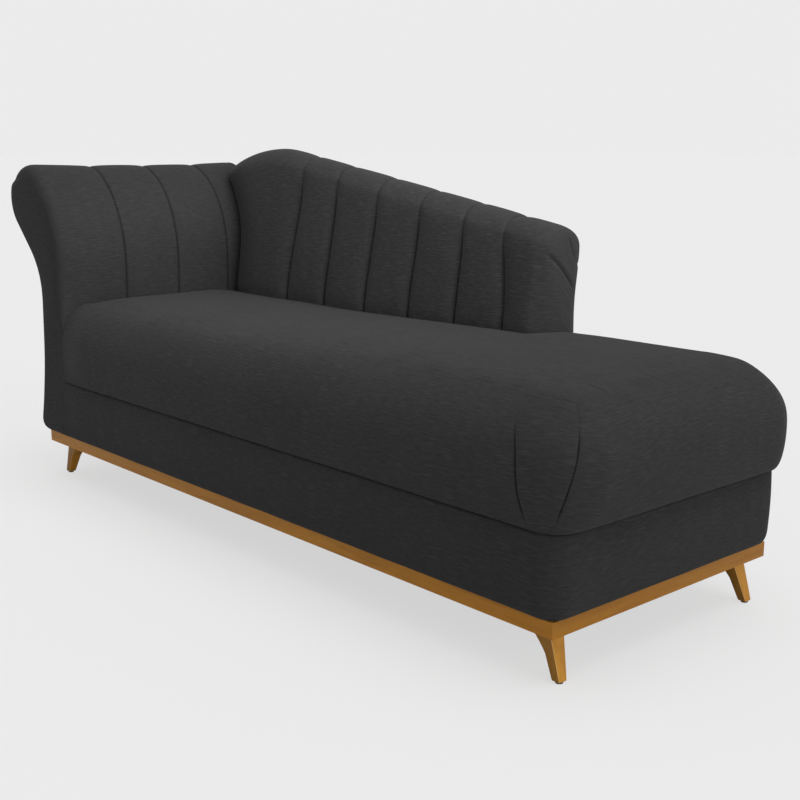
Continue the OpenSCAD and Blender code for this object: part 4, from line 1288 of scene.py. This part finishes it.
@dataclass
class DeepSeat:
    """The seat: a crowned pad with swelling free sides, notched round the back, with two darts at each foot corner.

    The darts pull towards hub, which lies inside the corner. The crown falls to low_crown of its height by the arm,
    and the top sinks by sunk where it goes down beside the arm and the back.

    A ring at one level runs along the front, round the foot end and back along the rear side. Places on it are
    lengths from the start of the front corner's arc, so a column that follows a dart only shifts its length.
    """

    start: float = 115.3
    end: float = 1654.0
    front: float = -28.0
    rear: float = 578.0
    corner: float = 88.0
    notch_x: float = 1160.3
    notch_y: float = 437.7
    notch_reach: float = 7.3
    belly: float = 92.0
    shoulder: float = 86.0
    edge_run: float = 80.0
    tuck: Pair = (38.0, 14.0)
    crown: float = 16.0
    low_crown: float = 0.35
    sunk: float = 7.0
    hub: Pair = (1540.0, 60.0)
    columns: int = 44

    def dart_shift(self, z: Array, which: int) -> Array:
        """Where a dart lies at a height, as a length from the corner arc's start: one in front, one on the arc.

        Args:
            z: Heights.
            which: 0 for the dart in front, 1 for the one on the arc.

        Returns:
            The lengths.
        """
        if which == 0:
            return np.interp(z, (243, 263, 277, 299, 350, 382, 400), (-7, -10, -15, -22, -27, -39, -44))
        return np.interp(z, (243, 283, 325, 355, 385, 400), (50, 58, 70, 79, 85, 88))

    def lengths(self, z: float) -> Array:
        """Lengths of the columns from the front's arc, from the corner's run-in to the middle of the foot end.

        Columns near a dart keep their distance from it, those in between are spread out evenly.

        Args:
            z: The height.

        Returns:
            The columns' lengths, in order.
        """
        a, b = float(self.dart_shift(z, 0)), float(self.dart_shift(z, 1))
        arc_end = self.corner * math.pi / 2
        beside = np.array((-16, -8, -3, 0, 3, 8, 16), float)
        reach = beside[-1]
        gap = (b - a - 2 * reach) / 3
        between = np.array((a + reach + gap, a + reach + 2 * gap))
        after = np.linspace(b + reach, arc_end + 20, 5)[1:]
        return np.concatenate(((a - 46, a - 30), a + beside, between, b + beside, after))

    def place(self, length: Array, level: Level) -> Array:
        """A place on the ring: straight before the arc, round it, and straight along the foot end after it.

        Args:
            length: Lengths from the arc's start.
            level: The ring's level.

        Returns:
            The places as [x, y].
        """
        r = self.corner - level.shrink
        x1, y0 = self.end - level.end_inset, self.front + level.side_inset
        arc_end = self.corner * math.pi / 2
        a = np.clip(length, 0, arc_end) / self.corner
        x = x1 - r + r * np.sin(a) + np.minimum(length, 0)
        y = y0 + r - r * np.cos(a) + np.maximum(length - arc_end, 0)
        return np.stack((x, y), 1)

    def half(self, level: Level) -> Array:
        """The front half of a ring, from the arm, where it is flush with the facing, to the middle of the foot end.

        Args:
            level: The ring's level.

        Returns:
            The places as [x, y].
        """
        corner = self.place(self.lengths(level.z), level)
        edge = (self.start, self.start + 1.2, self.start + 6)
        run = np.concatenate((edge, np.linspace(self.start + 24, corner[0, 0], self.columns - 2)[:-1]))
        by_arm = 1 - smooth((run - self.start) / 120)
        pulled = 13.5 * by_arm * (1 - 0.45 * smooth((level.z - 350) / 70))
        inset = level.side_inset * (1 - 0.9 * by_arm * (level.share == 0))
        along = np.stack((run, self.front + inset + pulled), 1)
        foot = line(tuple(corner[-1]), (self.end - level.end_inset, (self.front + self.rear) / 2), 5)[1:]
        return np.concatenate((along, corner, foot))

    def ring(self, level: Level) -> tuple[Array, Array]:
        """The front and the rear half of a ring as [x, y], with the same number of points.

        The rear half mirrors the corner, then runs along the side to the notch, in to the back's face and along it.
        The notch's own corner reaches further, under the back's rounded corner.

        Args:
            level: The ring's level.

        Returns:
            The two halves.
        """
        ahead = self.half(level)
        mirrored = ahead.copy()
        mirrored[:, 1] = self.front + self.rear - ahead[:, 1]
        x, y, outer = self.notch_x, self.notch_y, self.rear - level.side_inset
        behind = np.concatenate((
            line((self.start, y), (self.start + 6, y), 1),
            line((self.start + 24, y), (x - 8, y), 26),
            np.array(((x - self.notch_reach, y + self.notch_reach),)),
            line((x, y), (x, outer), 5)[1:],
            line((x, outer), tuple(mirrored[self.columns]), self.columns - 34)[1:-1],
            mirrored[self.columns:]))
        return ahead, behind

    def crown_at(self, x: Array, y: Array) -> Array:
        """Share of the crown: none along the free sides, the most towards the foot end.

        Args:
            x: Places along the seat.
            y: Places across it.

        Returns:
            The shares.
        """
        across = 2 * (y - self.front) / (self.rear - self.front) - 1
        ends = smooth((self.end - x) / (2 * self.edge_run))
        return (1 - across**4) * ends * (self.low_crown + (1 - self.low_crown) * smooth((x - 580) / 580))

    def tucked(self, q: Array) -> Array:
        """How far the top sinks beside the arm or the back, which is over 30 mm away from them."""
        beside = np.hypot(np.maximum(0, q[:, 0] - self.notch_x), np.maximum(0, self.notch_y - q[:, 1]))
        return self.sunk * (1 - smooth(np.minimum(beside, q[:, 0] - self.start) / 30))

    def levels(self) -> list[Level]:
        """The side's levels, from the seam round the tuck, the belly and the shoulder.

        The tuck draws in by tuck (1 - sin a) at belly height less belly cos a, and the shoulder by run (1 - cos a)
        at belly height plus shoulder sin a.

        Returns:
            The levels, from the seam up.
        """
        widest = SEAM_Z + self.belly
        end, side = self.tuck
        made = [Level(SEAM_Z, end + 6, side + 6, 52.0)]
        for a in np.radians((0, 15, 32, 50, 70)):
            t = 1 - math.sin(a)
            made.append(Level(widest - self.belly * math.cos(a), end * t, side * t, 46 * t))
        for a in np.radians((0, 14, 28, 42, 55, 67, 79, 90)):
            t = 1 - math.cos(a)
            run = self.edge_run * t
            made.append(Level(widest + self.shoulder * math.sin(a), run, run, 0.8 * run, t))
        return made

    def side_ring(self, row: int, level: Level) -> tuple[Array, dict[str, Array]]:
        """One ring of the side with its darts.

        Args:
            row: Number of the level, from the seam up.
            level: The level.

        Returns:
            The points, and what they carry.
        """
        z, halves = level.z, []
        for half in self.ring(level):
            lift = level.share * self.crown * self.crown_at(half[:, 0], half[:, 1])
            halves.append(np.concatenate((half, (z + lift)[:, None]), 1))
        k = np.arange(len(halves[0]))
        dent, marks, shown = np.zeros((3, len(k)))
        for number, (at, foot) in enumerate(((self.columns + 5, 250), (self.columns + 14, 262)), 1):
            strength = float(smooth((398 - z) / 20) * smooth((z - foot) / 16))
            dent += strength * 4.5 * np.exp(-((k - at) / 0.9) ** 2)
            shown += strength * np.exp(-((k - at) / 2.0) ** 2)
            marks[at] = number * (strength > 0.1)
        x, y = self.hub
        for half, hub in zip(halves, ((x, y), (x, self.rear + self.front - y))):
            way = np.array(hub) - half[:, :2]
            way /= np.maximum(np.linalg.norm(way, axis=1, keepdims=True), 1e-6)
            half[:, :2] += way * dent[:, None]
        points = np.concatenate((halves[0], halves[1][-2::-1]))
        both = np.concatenate((marks, 2 * (marks[-2::-1] > 0) + marks[-2::-1]))
        shown = np.concatenate((shown, shown[-2::-1]))
        free = (points[:, 1] < 0) | (points[:, 0] > self.notch_x + 8)
        by_arm = 1 - smooth((points[:, 0] - self.start - 10) / 90)
        # Darker along the darts, as stitch lines with painted shade, and painted shade in the crease where the seat
        # meets the base
        return points, {
            "seam": shown * (both > 0) + 0.9 * (row <= 1),
            "near": 0.7 * shown + 0.5 * (row <= 1),
            "held": np.where(free, np.maximum(0.9 * smooth((290 - z) / 45), by_arm), 1.0),
            "mark": np.where(row == 1, 9, both),
            "plain": smooth(level.share * 3.0 - 1.6)}

    def build(self) -> bpy.types.Object:
        """The seat's cover, from the middle of the underside up the side to the middle line of the crowned top.

        Returns:
            The piece.
        """
        levels = self.levels()
        k = np.arange(len(self.ring(levels[0])[0]))
        x = np.interp(k, (0, 3, 29, self.columns, len(k) - 1), (205, 225, 1150, 1330, 1510))
        middle = np.stack((x, 232 + 43 * smooth((x - 950) / 350)), 1)
        middles = np.concatenate((middle, middle[-2::-1]))
        rings = Rings()
        first = self.side_ring(0, levels[0])[0][:, :2]
        for w in (1.0, 0.5):
            flat = first + (middles - first) * w
            rings.add(np.column_stack((flat, np.full(len(flat), SEAM_Z))), held=1.0)
        for row, level in enumerate(levels):
            points, carried = self.side_ring(row, level)
            rings.add(points, **carried)
        top = points[:, :2]
        points[:, 2] -= self.tucked(points)
        for w in (0.1, 0.24, 0.4, 0.58, 0.78, 1.0):
            q = top + (middles - top) * w
            z = SEAM_Z + self.belly + self.shoulder + self.crown * self.crown_at(q[:, 0], q[:, 1])
            rings.add(np.column_stack((q, z - self.tucked(q))), plain=1.0)
        p = closed(np.array(rings.rows))
        up = run_length(p, 0)
        return Solid("seat_cushion", [rings.grid(p, run_length(p, 1), up - up[3])]).build()


@dataclass
class BaseCover:
    """The base's padded cover: one section carried from the arm along the front, round the foot end and back."""

    start: float = 115.0
    out: float = 15.0
    corner: float = 28.0

    def section(self) -> Array:
        """The section as [outwards, z]: rounded in to the plinth below and to the seat's seam above.

        Returns:
            The section's points.
        """
        a = np.radians(np.linspace(90, 0, 7))
        lower = np.stack((self.out * np.cos(a), PLINTH_TOP + LOW_ROUND * (1 - np.sin(a))), 1)
        edge, swell = 5, 1.6
        z = np.linspace(PLINTH_TOP + LOW_ROUND, SEAM_Z - edge, 7)
        face = np.stack((self.out + swell * np.sin(np.pi * (z - z[0]) / (z[-1] - z[0])), z), 1)
        upper = arc((self.out - edge, SEAM_Z - edge), edge, 0, 90, 4)
        back = np.array(((0.0, SEAM_Z), (0.0, 190.0), (0.0, 140.0)))
        return np.concatenate((lower, face[1:], upper[1:], back))

    def path(self) -> tuple[Array, Array]:
        """The path along the plinth's face, as places and outward directions.

        Returns:
            The places and the directions.
        """
        r, x1, y1 = self.corner, PLINTH_L - self.corner, PLINTH_D - self.corner
        by_arm = (self.start, self.start + 1.0, self.start + 5)
        run = np.concatenate((by_arm, np.linspace(self.start + 24, x1, 44)))
        side = np.linspace(r, y1, 16)
        turn = np.linspace(-90, 0, 9)[1:-1]
        parts = (run, r, -90), (x1, r, turn), (x1, side, 0), (x1, y1, turn + 90), (run[::-1], y1, 90)
        x, y, angle = np.hstack([np.array(np.broadcast_arrays(*part)) for part in parts])
        ways = np.stack((np.cos(np.radians(angle)), np.sin(np.radians(angle))), 1)
        return np.stack((x, y), 1) + r * ways, ways

    def build(self) -> bpy.types.Object:
        """The cover: each section point stands outwards from the path, and both ends are closed.

        Returns:
            The piece.
        """
        section = self.section()
        spots, ways = self.path()
        loop = np.concatenate((section, section[:1]))
        p = np.empty((len(spots), len(loop), 3))
        bulge = np.abs(2 * ways[:, 0] * ways[:, 1])[:, None] * np.clip(1 - (loop[:, 1] - PLINTH_TOP) / 20, 0, 1)
        p[..., :2] = spots[:, None] + ways[:, None] * (loop[:, 0] + bulge * (loop[:, 1] < 130))[..., None]
        p[..., 2] = loop[:, 1]
        middle = np.array((6.0, 176.0))
        caps = [np.broadcast_to(np.array((*(spots[k] + ways[k] * middle[0]), middle[1])), p[0].shape) for k in (0, -1)]
        held = np.where((loop[:, 0] < 3) | (loop[:, 1] > 238) | (loop[:, 1] < 116), 1.0, 0.2)
        by_arm = 1 - smooth((spots[:, 0] - self.start - 10) / 70)
        tight = np.maximum(np.tile(held, (len(spots), 1)), by_arm[:, None])
        # Painted shade in the crease under the seat, along the cover's top edge
        top = np.tile(np.where((loop[:, 1] > 242) & (loop[:, 0] > 1), 0.8, 0.0), (len(spots), 1))
        return Solid("base_cover", [
            Grid(p, seam=top, held=tight, along=run_length(p, 0), across=run_length(p, 1)),
            Grid(np.stack((caps[0], p[0])), held=1.0),
            Grid(np.stack((p[-1], caps[1])), held=1.0)]).build()


@dataclass
class DustCover:
    """Black non-woven sheet stretched and stapled over the underside, sagging a little between the rails."""

    start: float = 12.8
    level: float = 109.8
    sag: float = 4.0
    corner: float = 30.0
    edge: float = 0.4
    half_t: float = 0.35

    def build(self) -> None:
        """The sheet: a grid that hangs by sag times the sines of both shares, to the power 1.5, then thickened.

        At a distance d from a long edge, the foot end draws back by r - sqrt(r squared - (r - d) squared) for its
        rounded corners.
        """
        near_edge = self.corner / PLINTH_D * (1 - np.cos(np.radians(np.linspace(0, 90, 7))))
        over = np.concatenate((near_edge, np.linspace(0.05, 0.95, 21)[1:-1], 1 - near_edge[::-1]))
        u, v = np.meshgrid(np.linspace(0, 1, 65), over, indexing="ij")
        dip = self.sag * (np.sin(np.pi * u) * np.sin(np.pi * v)) ** 1.5
        away = np.minimum(v, 1 - v) * PLINTH_D
        drawn = self.corner - np.sqrt(self.corner**2 - np.maximum(0, self.corner - away) ** 2)
        x = self.start + self.edge + (PLINTH_L - self.start - 2 * self.edge - drawn) * u
        p = np.stack((x, self.edge + (PLINTH_D - 2 * self.edge) * v, self.level - dip), -1)
        rim = np.concatenate((p[:, 0], p[-1, 1:], p[-2::-1, -1], p[0, -2::-1]))
        up = np.array((0, 0, self.half_t))
        piece = Solid("dust_sheet", [Grid(p + up), Grid(p - up), Grid(np.stack((rim - up, rim + up)))]).build()
        dress(piece, Woven("dust_cloth", (0.022, 0.022, 0.022), (400.0, 400.0, 400.0)), "dust_cloth", "dust_cover")


@dataclass
class Leg:
    """A leg: it tapers both ways, splays along the plinth and flares inwards into its top."""

    at_foot_end: bool
    at_rear: bool
    height: float = 83.0
    foot: float = 3.0
    flare_from: float = 41.5
    splay: float = 23.0
    corner: float = 1.6

    def build(self) -> None:
        """The leg: a rounded rectangle at each height, whose sides follow the taper and the flare.

        The outer edge leans in by the splay, the inner edge leans by 0.63 of it and then flares by
        39.5 t (0.7 + 0.3 t), and the width grows from 17 to 33.
        """
        name = f"leg_{'rear' if self.at_rear else 'front'}_{'foot' if self.at_foot_end else 'arm'}"
        inset = 16.0 if self.at_rear else 29.0
        flare = self.flare_from + (self.height - self.flare_from) * np.linspace(0, 1, 10)[1:-1]
        z = np.concatenate(((3, 3.6, 5, 12, 22, 32, 38, self.flare_from), flare, (82.4, 83)))
        up = (z - self.foot) / (self.height - self.foot)
        t = np.clip((z - self.flare_from) / (self.height - self.flare_from), 0, 1)
        outer = 9 + self.splay * up
        lean = 14.49 * np.clip((z - self.foot) / (self.flare_from - self.foot), 0, 1)
        inner = 25 + lean + 39.51 * t * (0.7 + 0.3 * t)
        width = 17 + 16 * up
        radius = self.corner - np.interp(z, (3, 3.6, 5, 82.4, 83), (1.2, 0.35, 0, 0, 0.4))
        a = np.radians(np.linspace(0, 90, 4))
        rows = []
        for o, i, w, r in zip(outer + self.corner, inner - self.corner, width - self.corner, radius):
            turns = []
            for k, (x, y) in enumerate(((i, w), (o, w), (o, self.corner), (i, self.corner))):
                b = a + k * math.pi / 2
                turns.append(np.stack((x + r * np.cos(b), y + r * np.sin(b)), 1))
            rows.append(np.concatenate(turns))
        ring = closed(np.array(rows))
        p = np.concatenate((ring, np.broadcast_to(z[:, None, None], (*ring.shape[:2], 1))), 2)
        p[..., 1] += inset
        if self.at_foot_end:
            p[..., 0] = PLINTH_L - p[..., 0]
        if self.at_rear:
            p[..., 1] = PLINTH_D - p[..., 1]
        ends = [np.stack((p[k], np.broadcast_to(p[k, :-1].mean(0), p[k].shape))) for k in (0, -1)]
        piece = Solid(name + "_post", [Grid(points) for points in (p, *ends)]).build()
        # The leg's front faces get painted shade, by front
        stained = Timber("oak_leg", Grain.Z, (0.58, 0.27, 0.034), (0.46, 0.20, 0.022), front=0.58)
        dress(piece, stained, "oak", name)
        # Painted highlight: the leg's rounded corners get the paler arris timber
        piece.data.materials.append(stained.arris().material())
        for face in piece.data.polygons:
            face.material_index = int(abs(face.normal.x) > 0.55 and abs(face.normal.y) > 0.55)


@dataclass(frozen=True)
class EasedRail:
    """A straight rail: the CAD rail with its edges eased by a small bevel, and with rounded corners if it has any.

    corner is the radius of the outer upright edge at the foot end.
    """

    node: str
    finish: Timber
    slot: str
    ease: float = 1.6
    corner: float = 0.0

    def round_corner(self, work: bmesh.types.BMesh) -> None:
        """Cuts the corner at the foot end along twelve planes that touch a circle of the corner's radius.

        Args:
            work: The rail's mesh, in metres.
        """
        r = self.corner / 1000
        side = 1 if self.node.endswith("rear") else -1
        end, rear = (np.array((PLINTH_L, PLINTH_D)) - CORNER[:2]) / 1000
        middle = np.array((end - r, side * (rear - r), 0.0))
        half = math.radians(90 / 12 / 2)
        for a in half * np.arange(1, 24, 2):
            way = np.array((math.sin(a), side * math.cos(a), 0.0))
            cut = bmesh.ops.bisect_plane(
                work, geom=[*work.verts, *work.edges, *work.faces], dist=1e-7, clear_outer=True,
                plane_co=middle + way * r * math.cos(half), plane_no=way)
            bmesh.ops.edgeloop_fill(work, edges=[e for e in cut["geom_cut"] if isinstance(e, bmesh.types.BMEdge)])
        bmesh.ops.recalc_face_normals(work, faces=work.faces)

    def build(self) -> None:
        """A merged copy of the node with its flat faces joined, rounded upright edges, and a bevel on sharp edges."""
        mesh = bpy.data.objects[self.node].data.copy()
        mesh.name = self.node + "_rail"
        work = bmesh.new()
        work.from_mesh(mesh)
        bmesh.ops.remove_doubles(work, verts=work.verts, dist=1e-5)
        bmesh.ops.dissolve_limit(work, angle_limit=math.radians(1), verts=work.verts, edges=work.edges)
        if self.corner:
            self.round_corner(work)
        work.to_mesh(mesh)
        work.free()
        piece = placed(self.node + "_rail", mesh)
        bevel = piece.modifiers.new("bevel", "BEVEL")
        bevel.width, bevel.segments, bevel.limit_method = self.ease / 1000, 2, "ANGLE"
        # The bevel faces take the second slot: a painted highlight on the eased edges
        bevel.angle_limit, bevel.material = math.radians(40), 1
        mesh.shade_flat()
        dress(piece, self.finish, self.slot, self.node)
        # The second slot holds the paler arris timber, the painted highlight
        mesh.materials.append(self.finish.arris().material())


def dress_frame() -> None:
    """Gives the hidden timber, webbing and fixings, which keep their CAD shapes, their finishes."""
    ply = Timber("plywood", Grain.Y, (0.56, 0.40, 0.24), (0.44, 0.29, 0.16), 0.6, 0.0)
    steel = Fitting("steel", (0.62, 0.62, 0.63), 1.0, 0.34)
    finishes = {
        ("corner_blocks", "back_top_rail", "back_middle_rails"): PINE[Grain.X],
        ("base_rail_arm_end", "base_rail_foot_end", "base_stretchers", "arm_stretchers"): PINE[Grain.Y],
        ("arm_rib_front", "arm_rib_middle", "arm_rib_rear", "back_posts"): PINE[Grain.Z],
        ("arm_board", "back_board"): ply,
        ("webbing_across",): Woven("webbing_across", (0.36, 0.30, 0.22), (500.0, 60.0, 60.0)),
        ("webbing_along",): Woven("webbing_along", (0.36, 0.30, 0.22), (60.0, 500.0, 60.0)),
        ("seat_felt",): Woven("felt", (0.45, 0.43, 0.40), (160.0, 160.0, 160.0), 0.25),
        ("hanger_bolts", "tee_nuts", "plinth_screws", "post_bolts"): steel,
        ("glide_front_arm", "glide_front_foot", "glide_rear_arm", "glide_rear_foot"):
            Fitting("glide", (0.05, 0.05, 0.05), 0.0, 0.5),
    }
    for names, finish in finishes.items():
        material = finish.material()
        for name in names:
            node = bpy.data.objects[name]
            if not node.material_slots:
                node.data.materials.append(material)
            for place in node.material_slots:
                place.material = material
        LOG.info("%s keep their shape, in %s", ", ".join(names), material.name)


@dataclass(frozen=True)
class Studio:
    """A pale floor that runs out into a pale backdrop, two broad lamps, a soft panel, and the camera.

    above and beside are the two lamps: each points to its lamp, and over pi its light on a face that looks along an
    axis is the part along that axis.
    """

    backdrop: float = 0.831
    floor_back: float = 0.55
    around: float = 0.48
    above: Triple = (0.06, 0.03, 0.47)
    beside: Triple = (0.30, -0.01, 0.07)
    panel: float = 1.7
    even_floor: float = 0.75

    def floor(self) -> None:
        """A wide flat floor: the camera sees it pale with the object's shadow, and it throws little light back."""
        mesh = bpy.data.meshes.new("floor")
        side = 60.0
        mesh.from_pydata([(-side, -side, 0), (side, -side, 0), (side, side, 0), (-side, side, 0)], [], [(0, 1, 2, 3)])
        paint = Paint("floor")
        seen = paint.node("LightPath").outputs
        shown = paint.math("MAXIMUM", seen["Is Camera Ray"], seen["Is Glossy Ray"])
        pale, dim = (self.backdrop,) * 3, (self.floor_back,) * 3
        paint.done(paint.blend(shown, (*dim, 1.0), (*pale, 1.0)), 1.0, Specular_IOR_Level=0.0)
        glow = paint.fed("Emission", (*pale, 1.0))
        even = paint.math("MULTIPLY", seen["Is Camera Ray"], self.even_floor)
        mix = paint.fed("MixShader", even, paint.shader.outputs[0], glow.outputs[0])
        paint.give(mix.outputs[0], paint.tree.nodes["Material Output"].inputs["Surface"])
        mesh.materials.append(paint.material)
        placed("floor", mesh)

    def world(self) -> None:
        """An even surround: pale grey to the camera, dimmer as a light."""
        world = bpy.data.worlds.new("studio")
        bpy.context.scene.world = world
        world.use_nodes = True
        sky = Nodes(world.node_tree)
        seen = sky.node("LightPath").outputs
        shown = sky.math("MAXIMUM", seen["Is Camera Ray"], seen["Is Transmission Ray"])
        light = sky.tree.nodes["Background"]
        for value, socket in zip(((1, 1, 1, 1), self.around), light.inputs):
            sky.give(value, socket)
        back = sky.fed("Background", (self.backdrop,) * 3 + (1,), 1.0)
        mix = sky.fed("MixShader", shown, light.outputs[0], back.outputs[0])
        sky.give(mix.outputs[0], sky.tree.nodes["World Output"].inputs["Surface"])

    def light(self) -> None:
        """Two broad suns, and a panel of light over the foot end."""
        for name, given in (("above", self.above), ("beside", self.beside)):
            way = np.array(given)
            size = float(np.linalg.norm(way))
            lamp = bpy.data.lights.new(name, "SUN")
            lamp.energy, lamp.angle = math.pi * size, math.radians(50)
            placed(name, lamp).rotation_euler = (0.0, math.acos(way[2] / size), math.atan2(way[1], way[0]))
        light = bpy.data.lights.new("panel", "AREA")
        light.shape, light.size, light.size_y, light.energy = "RECTANGLE", 0.9, 0.6, self.panel
        light.spread = math.radians(60)
        panel = placed("panel", light)
        panel.location = (0.90, 0.0, 1.15)
        panel.rotation_euler = (0.0, math.radians(72), 0.0)
        panel.visible_camera = False

    def camera(self) -> None:
        """The photograph's view: from the foot end's front corner, slightly above."""
        made = bpy.data.cameras.new("camera")
        made.lens, made.sensor_width = 54.37, 36.0
        camera = placed("camera", made)
        camera.location = (1.9085, -1.521, 0.7878)
        camera.rotation_euler = (math.radians(90 - 12.1), 0.0, math.radians(48.5))
        bpy.context.scene.camera = camera

    def build(self) -> None:
        """Sets the stage."""
        bpy.context.scene.view_settings.view_transform = "Standard"
        self.camera()
        self.floor()
        self.world()
        self.light()


def main() -> None:
    """Builds the recamier's pieces in order."""
    logging.basicConfig(level=logging.INFO, format="%(name)s: %(message)s")
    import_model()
    Studio().build()
    rail = Timber("oak", Grain.X, (0.45, 0.188, 0.010), (0.35, 0.138, 0.007))
    # Painted shade: the foot end rail is a darker copy of the oak
    end = Timber("oak_end", Grain.Y, (0.36, 0.148, 0.007), (0.28, 0.108, 0.005))
    for name, finish in (("front", rail), ("rear", rail), ("arm_end", replace(rail, grain=Grain.Y)), ("foot_end", end)):
        EasedRail("plinth_" + name, finish, "oak").build()
    for node in ("base_rail_front", "base_rail_rear"):
        EasedRail(node, PINE[Grain.X], "pine", corner=30.0).build()
    for at_foot_end in (False, True):
        for at_rear in (False, True):
            Leg(at_foot_end, at_rear).build()
    DustCover().build()
    dress_frame()
    base = BaseCover().build()
    dress(base, SlubCloth(PaintedLightTone.BASE), "cloth", "base_cover_front", "base_cover_foot_end", "base_cover_rear")
    Filling(cap=3.0, waves=0.5).finish(base, [], 3)
    arm = ScrollArm().build()
    dress(arm, SlubCloth(PaintedLightTone.ARM), "cloth", "arm_pad", "arm_front_facing", "arm_outer_panel", "arm_rear_facing")
    Filling(cap=6.0).finish(arm, [], 11)
    back = SlopingBack().build()
    dress(back, SlubCloth(PaintedLightTone.BACK), "cloth", "back_pad", "back_end_pad", "back_rear_panel")
    # Pleats at the back's free end, each with painted shade along its fold
    pleats = [
        Press(1135, ((458, 587), (480, 570), (503, 550), (522, 530), (543, 505)), 3.2, 4.2, 1.0),
        Press(1135, ((520, 612), (528, 592), (540, 567)), 2.4, 4.0, 0.7),
    ]
    Filling(cap=3.0).finish(back, pleats, 23)
    seat = DeepSeat().build()
    dress(seat, SlubCloth(PaintedLightTone.SEAT), "cloth", "seat_pad")
    Filling(cap=6.0).finish(seat, [], 37)


if __name__ == "__main__":
    main()
